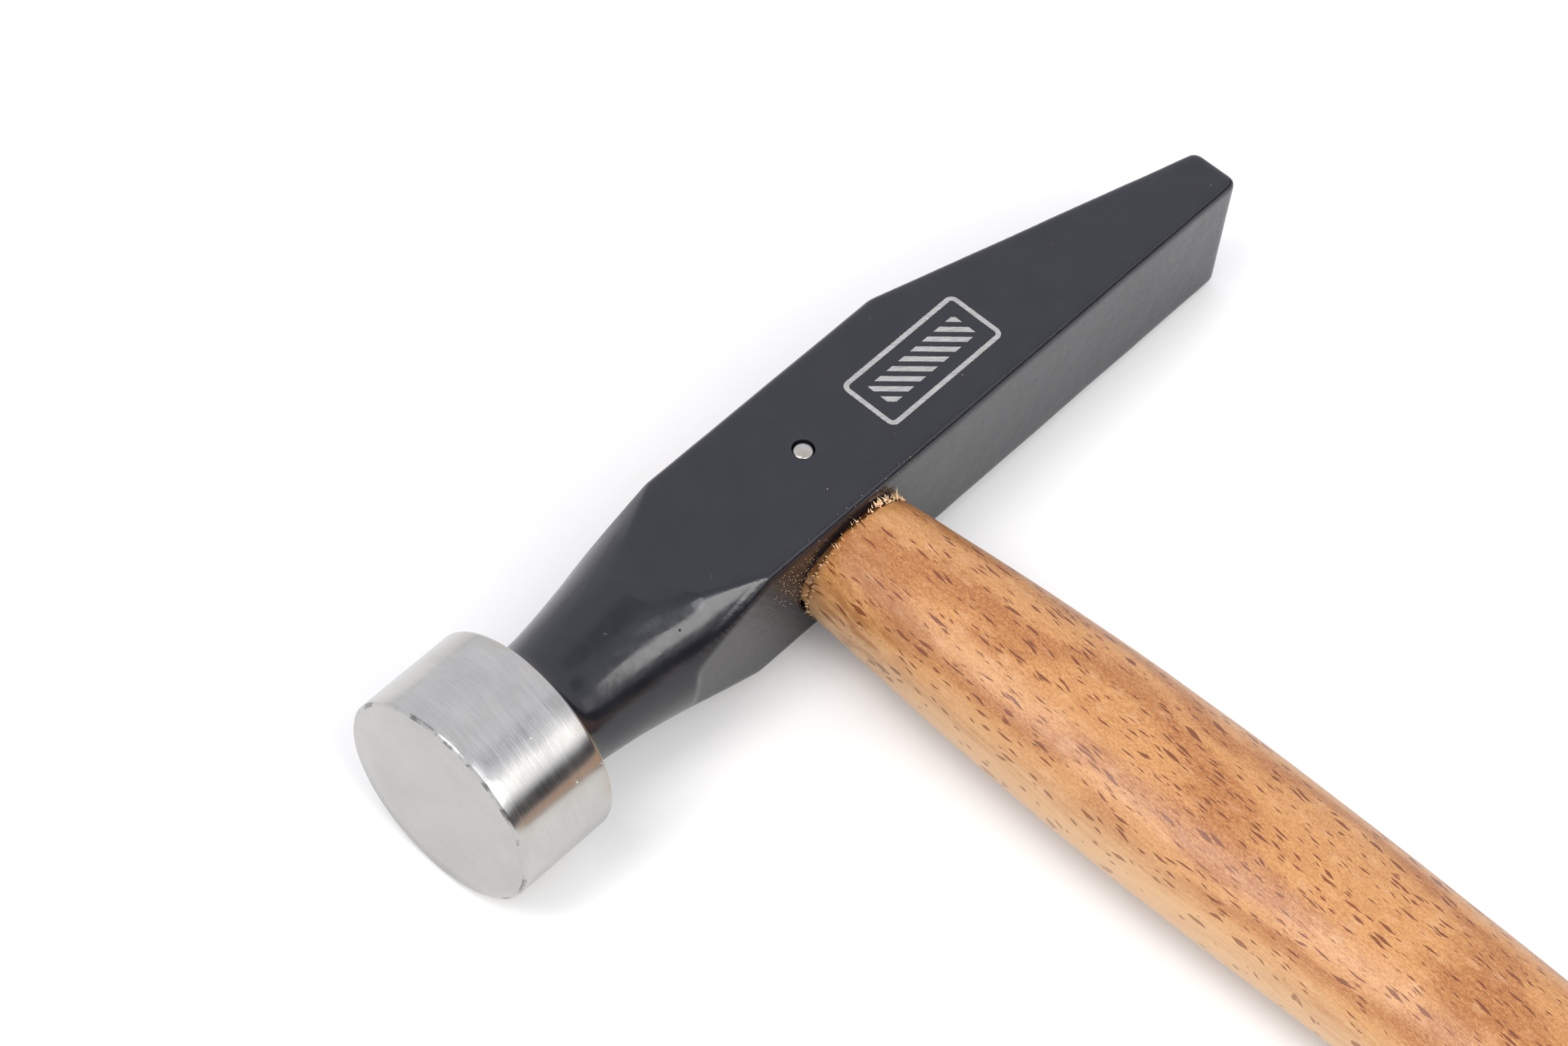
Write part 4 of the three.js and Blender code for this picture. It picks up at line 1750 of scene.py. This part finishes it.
@dataclass
class Hammer:
    """The whole hammer: builds, dresses and registers every piece."""

    frame: HammerFrame
    handle: Handle = field(default_factory=Handle)
    wood_wedge: Wedge = Wedge("wedge_beech", 4.0, 1.4, 20.0, 10.0, True)
    steel_wedge: Wedge = Wedge("wedge_rolled", 2.2, 0.8, 9.6, 7.5, False, 4.2)

    def register(self, obj: bpy.types.Object, material: bpy.types.Material, slot: Slot,
                 *nodes: str) -> None:
        """Lay a finished piece down, dress it and tie it to the CAD body.

        Args:
            obj: The piece in the hammer's own frame.
            material: Its material.
            slot: Its material slot; not used.
            nodes: CAD nodes that it stands for, or none for a trim.
        """
        Bench.transform(obj, self.frame.matrix)
        obj.data.materials.clear()
        obj.data.materials.append(material)
        for polygon in obj.data.polygons:
            polygon.material_index = 0
        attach(obj, BODY)
        if nodes:
            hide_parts(*nodes)
        LOG.info("%s: %d faces, stands for %s", obj.name, len(obj.data.polygons), nodes or "trim")

    def build(self) -> None:
        """Build every piece in order."""
        steel = TurnedSteel().build(self.frame)
        beech = Beech().build(self.frame)
        wedge_wood = Beech(name="wedge_beech", pale=rgb(0.46, 0.27, 0.13), warm=rgb(0.30, 0.15, 0.06),
                           pith_turn=70.0, roughness=0.7).build(self.frame)
        self.register(PaintedHead().build(), ForgedEnamel().build(self.frame), Slot.ENAMEL, "head")
        self.register(StrikingDisc().build(), steel, Slot.BARE_STEEL, "head")
        kerfs = [self.wood_wedge.build(0.3, "wood_kerf"), self.steel_wedge.build(0.3, "steel_kerf")]
        self.register(self.handle.build(kerfs), beech, Slot.BEECH, "handle")
        self.register(TornFibres(self.handle).build(),
                      Beech(name="torn_beech", pale=rgb(0.80, 0.58, 0.36), warm=rgb(0.66, 0.42, 0.22),
                            ray_strength=0.2, roughness=0.8).build(self.frame), Slot.BEECH)
        self.register(CrossPin().build(), steel, Slot.BARE_STEEL, "cross_pin")
        driven = self.wood_wedge.build()
        Bench.combine(driven, self.steel_wedge.build(0.3, "slot_cutter"), Cut.REMOVE)
        place = (self.handle.eye_x, self.handle.lean_deg)
        self.register(self.wood_wedge.finish(driven, *place), wedge_wood, Slot.WEDGE_WOOD,
                      "wood_wedge")
        self.register(self.steel_wedge.finish(self.steel_wedge.build(), *place),
                      RolledSteel().build(self.frame), Slot.WEDGE_STEEL, "steel_wedge")


def main() -> None:
    """Load the CAD frame and build the scene around it."""
    logging.basicConfig(level=logging.INFO, format="%(name)s: %(message)s")
    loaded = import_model()
    frame = HammerFrame.from_record(loaded["record"])
    Camera().build()
    Studio().build(frame)
    Hammer(frame).build()


if __name__ == "__main__":
    main()
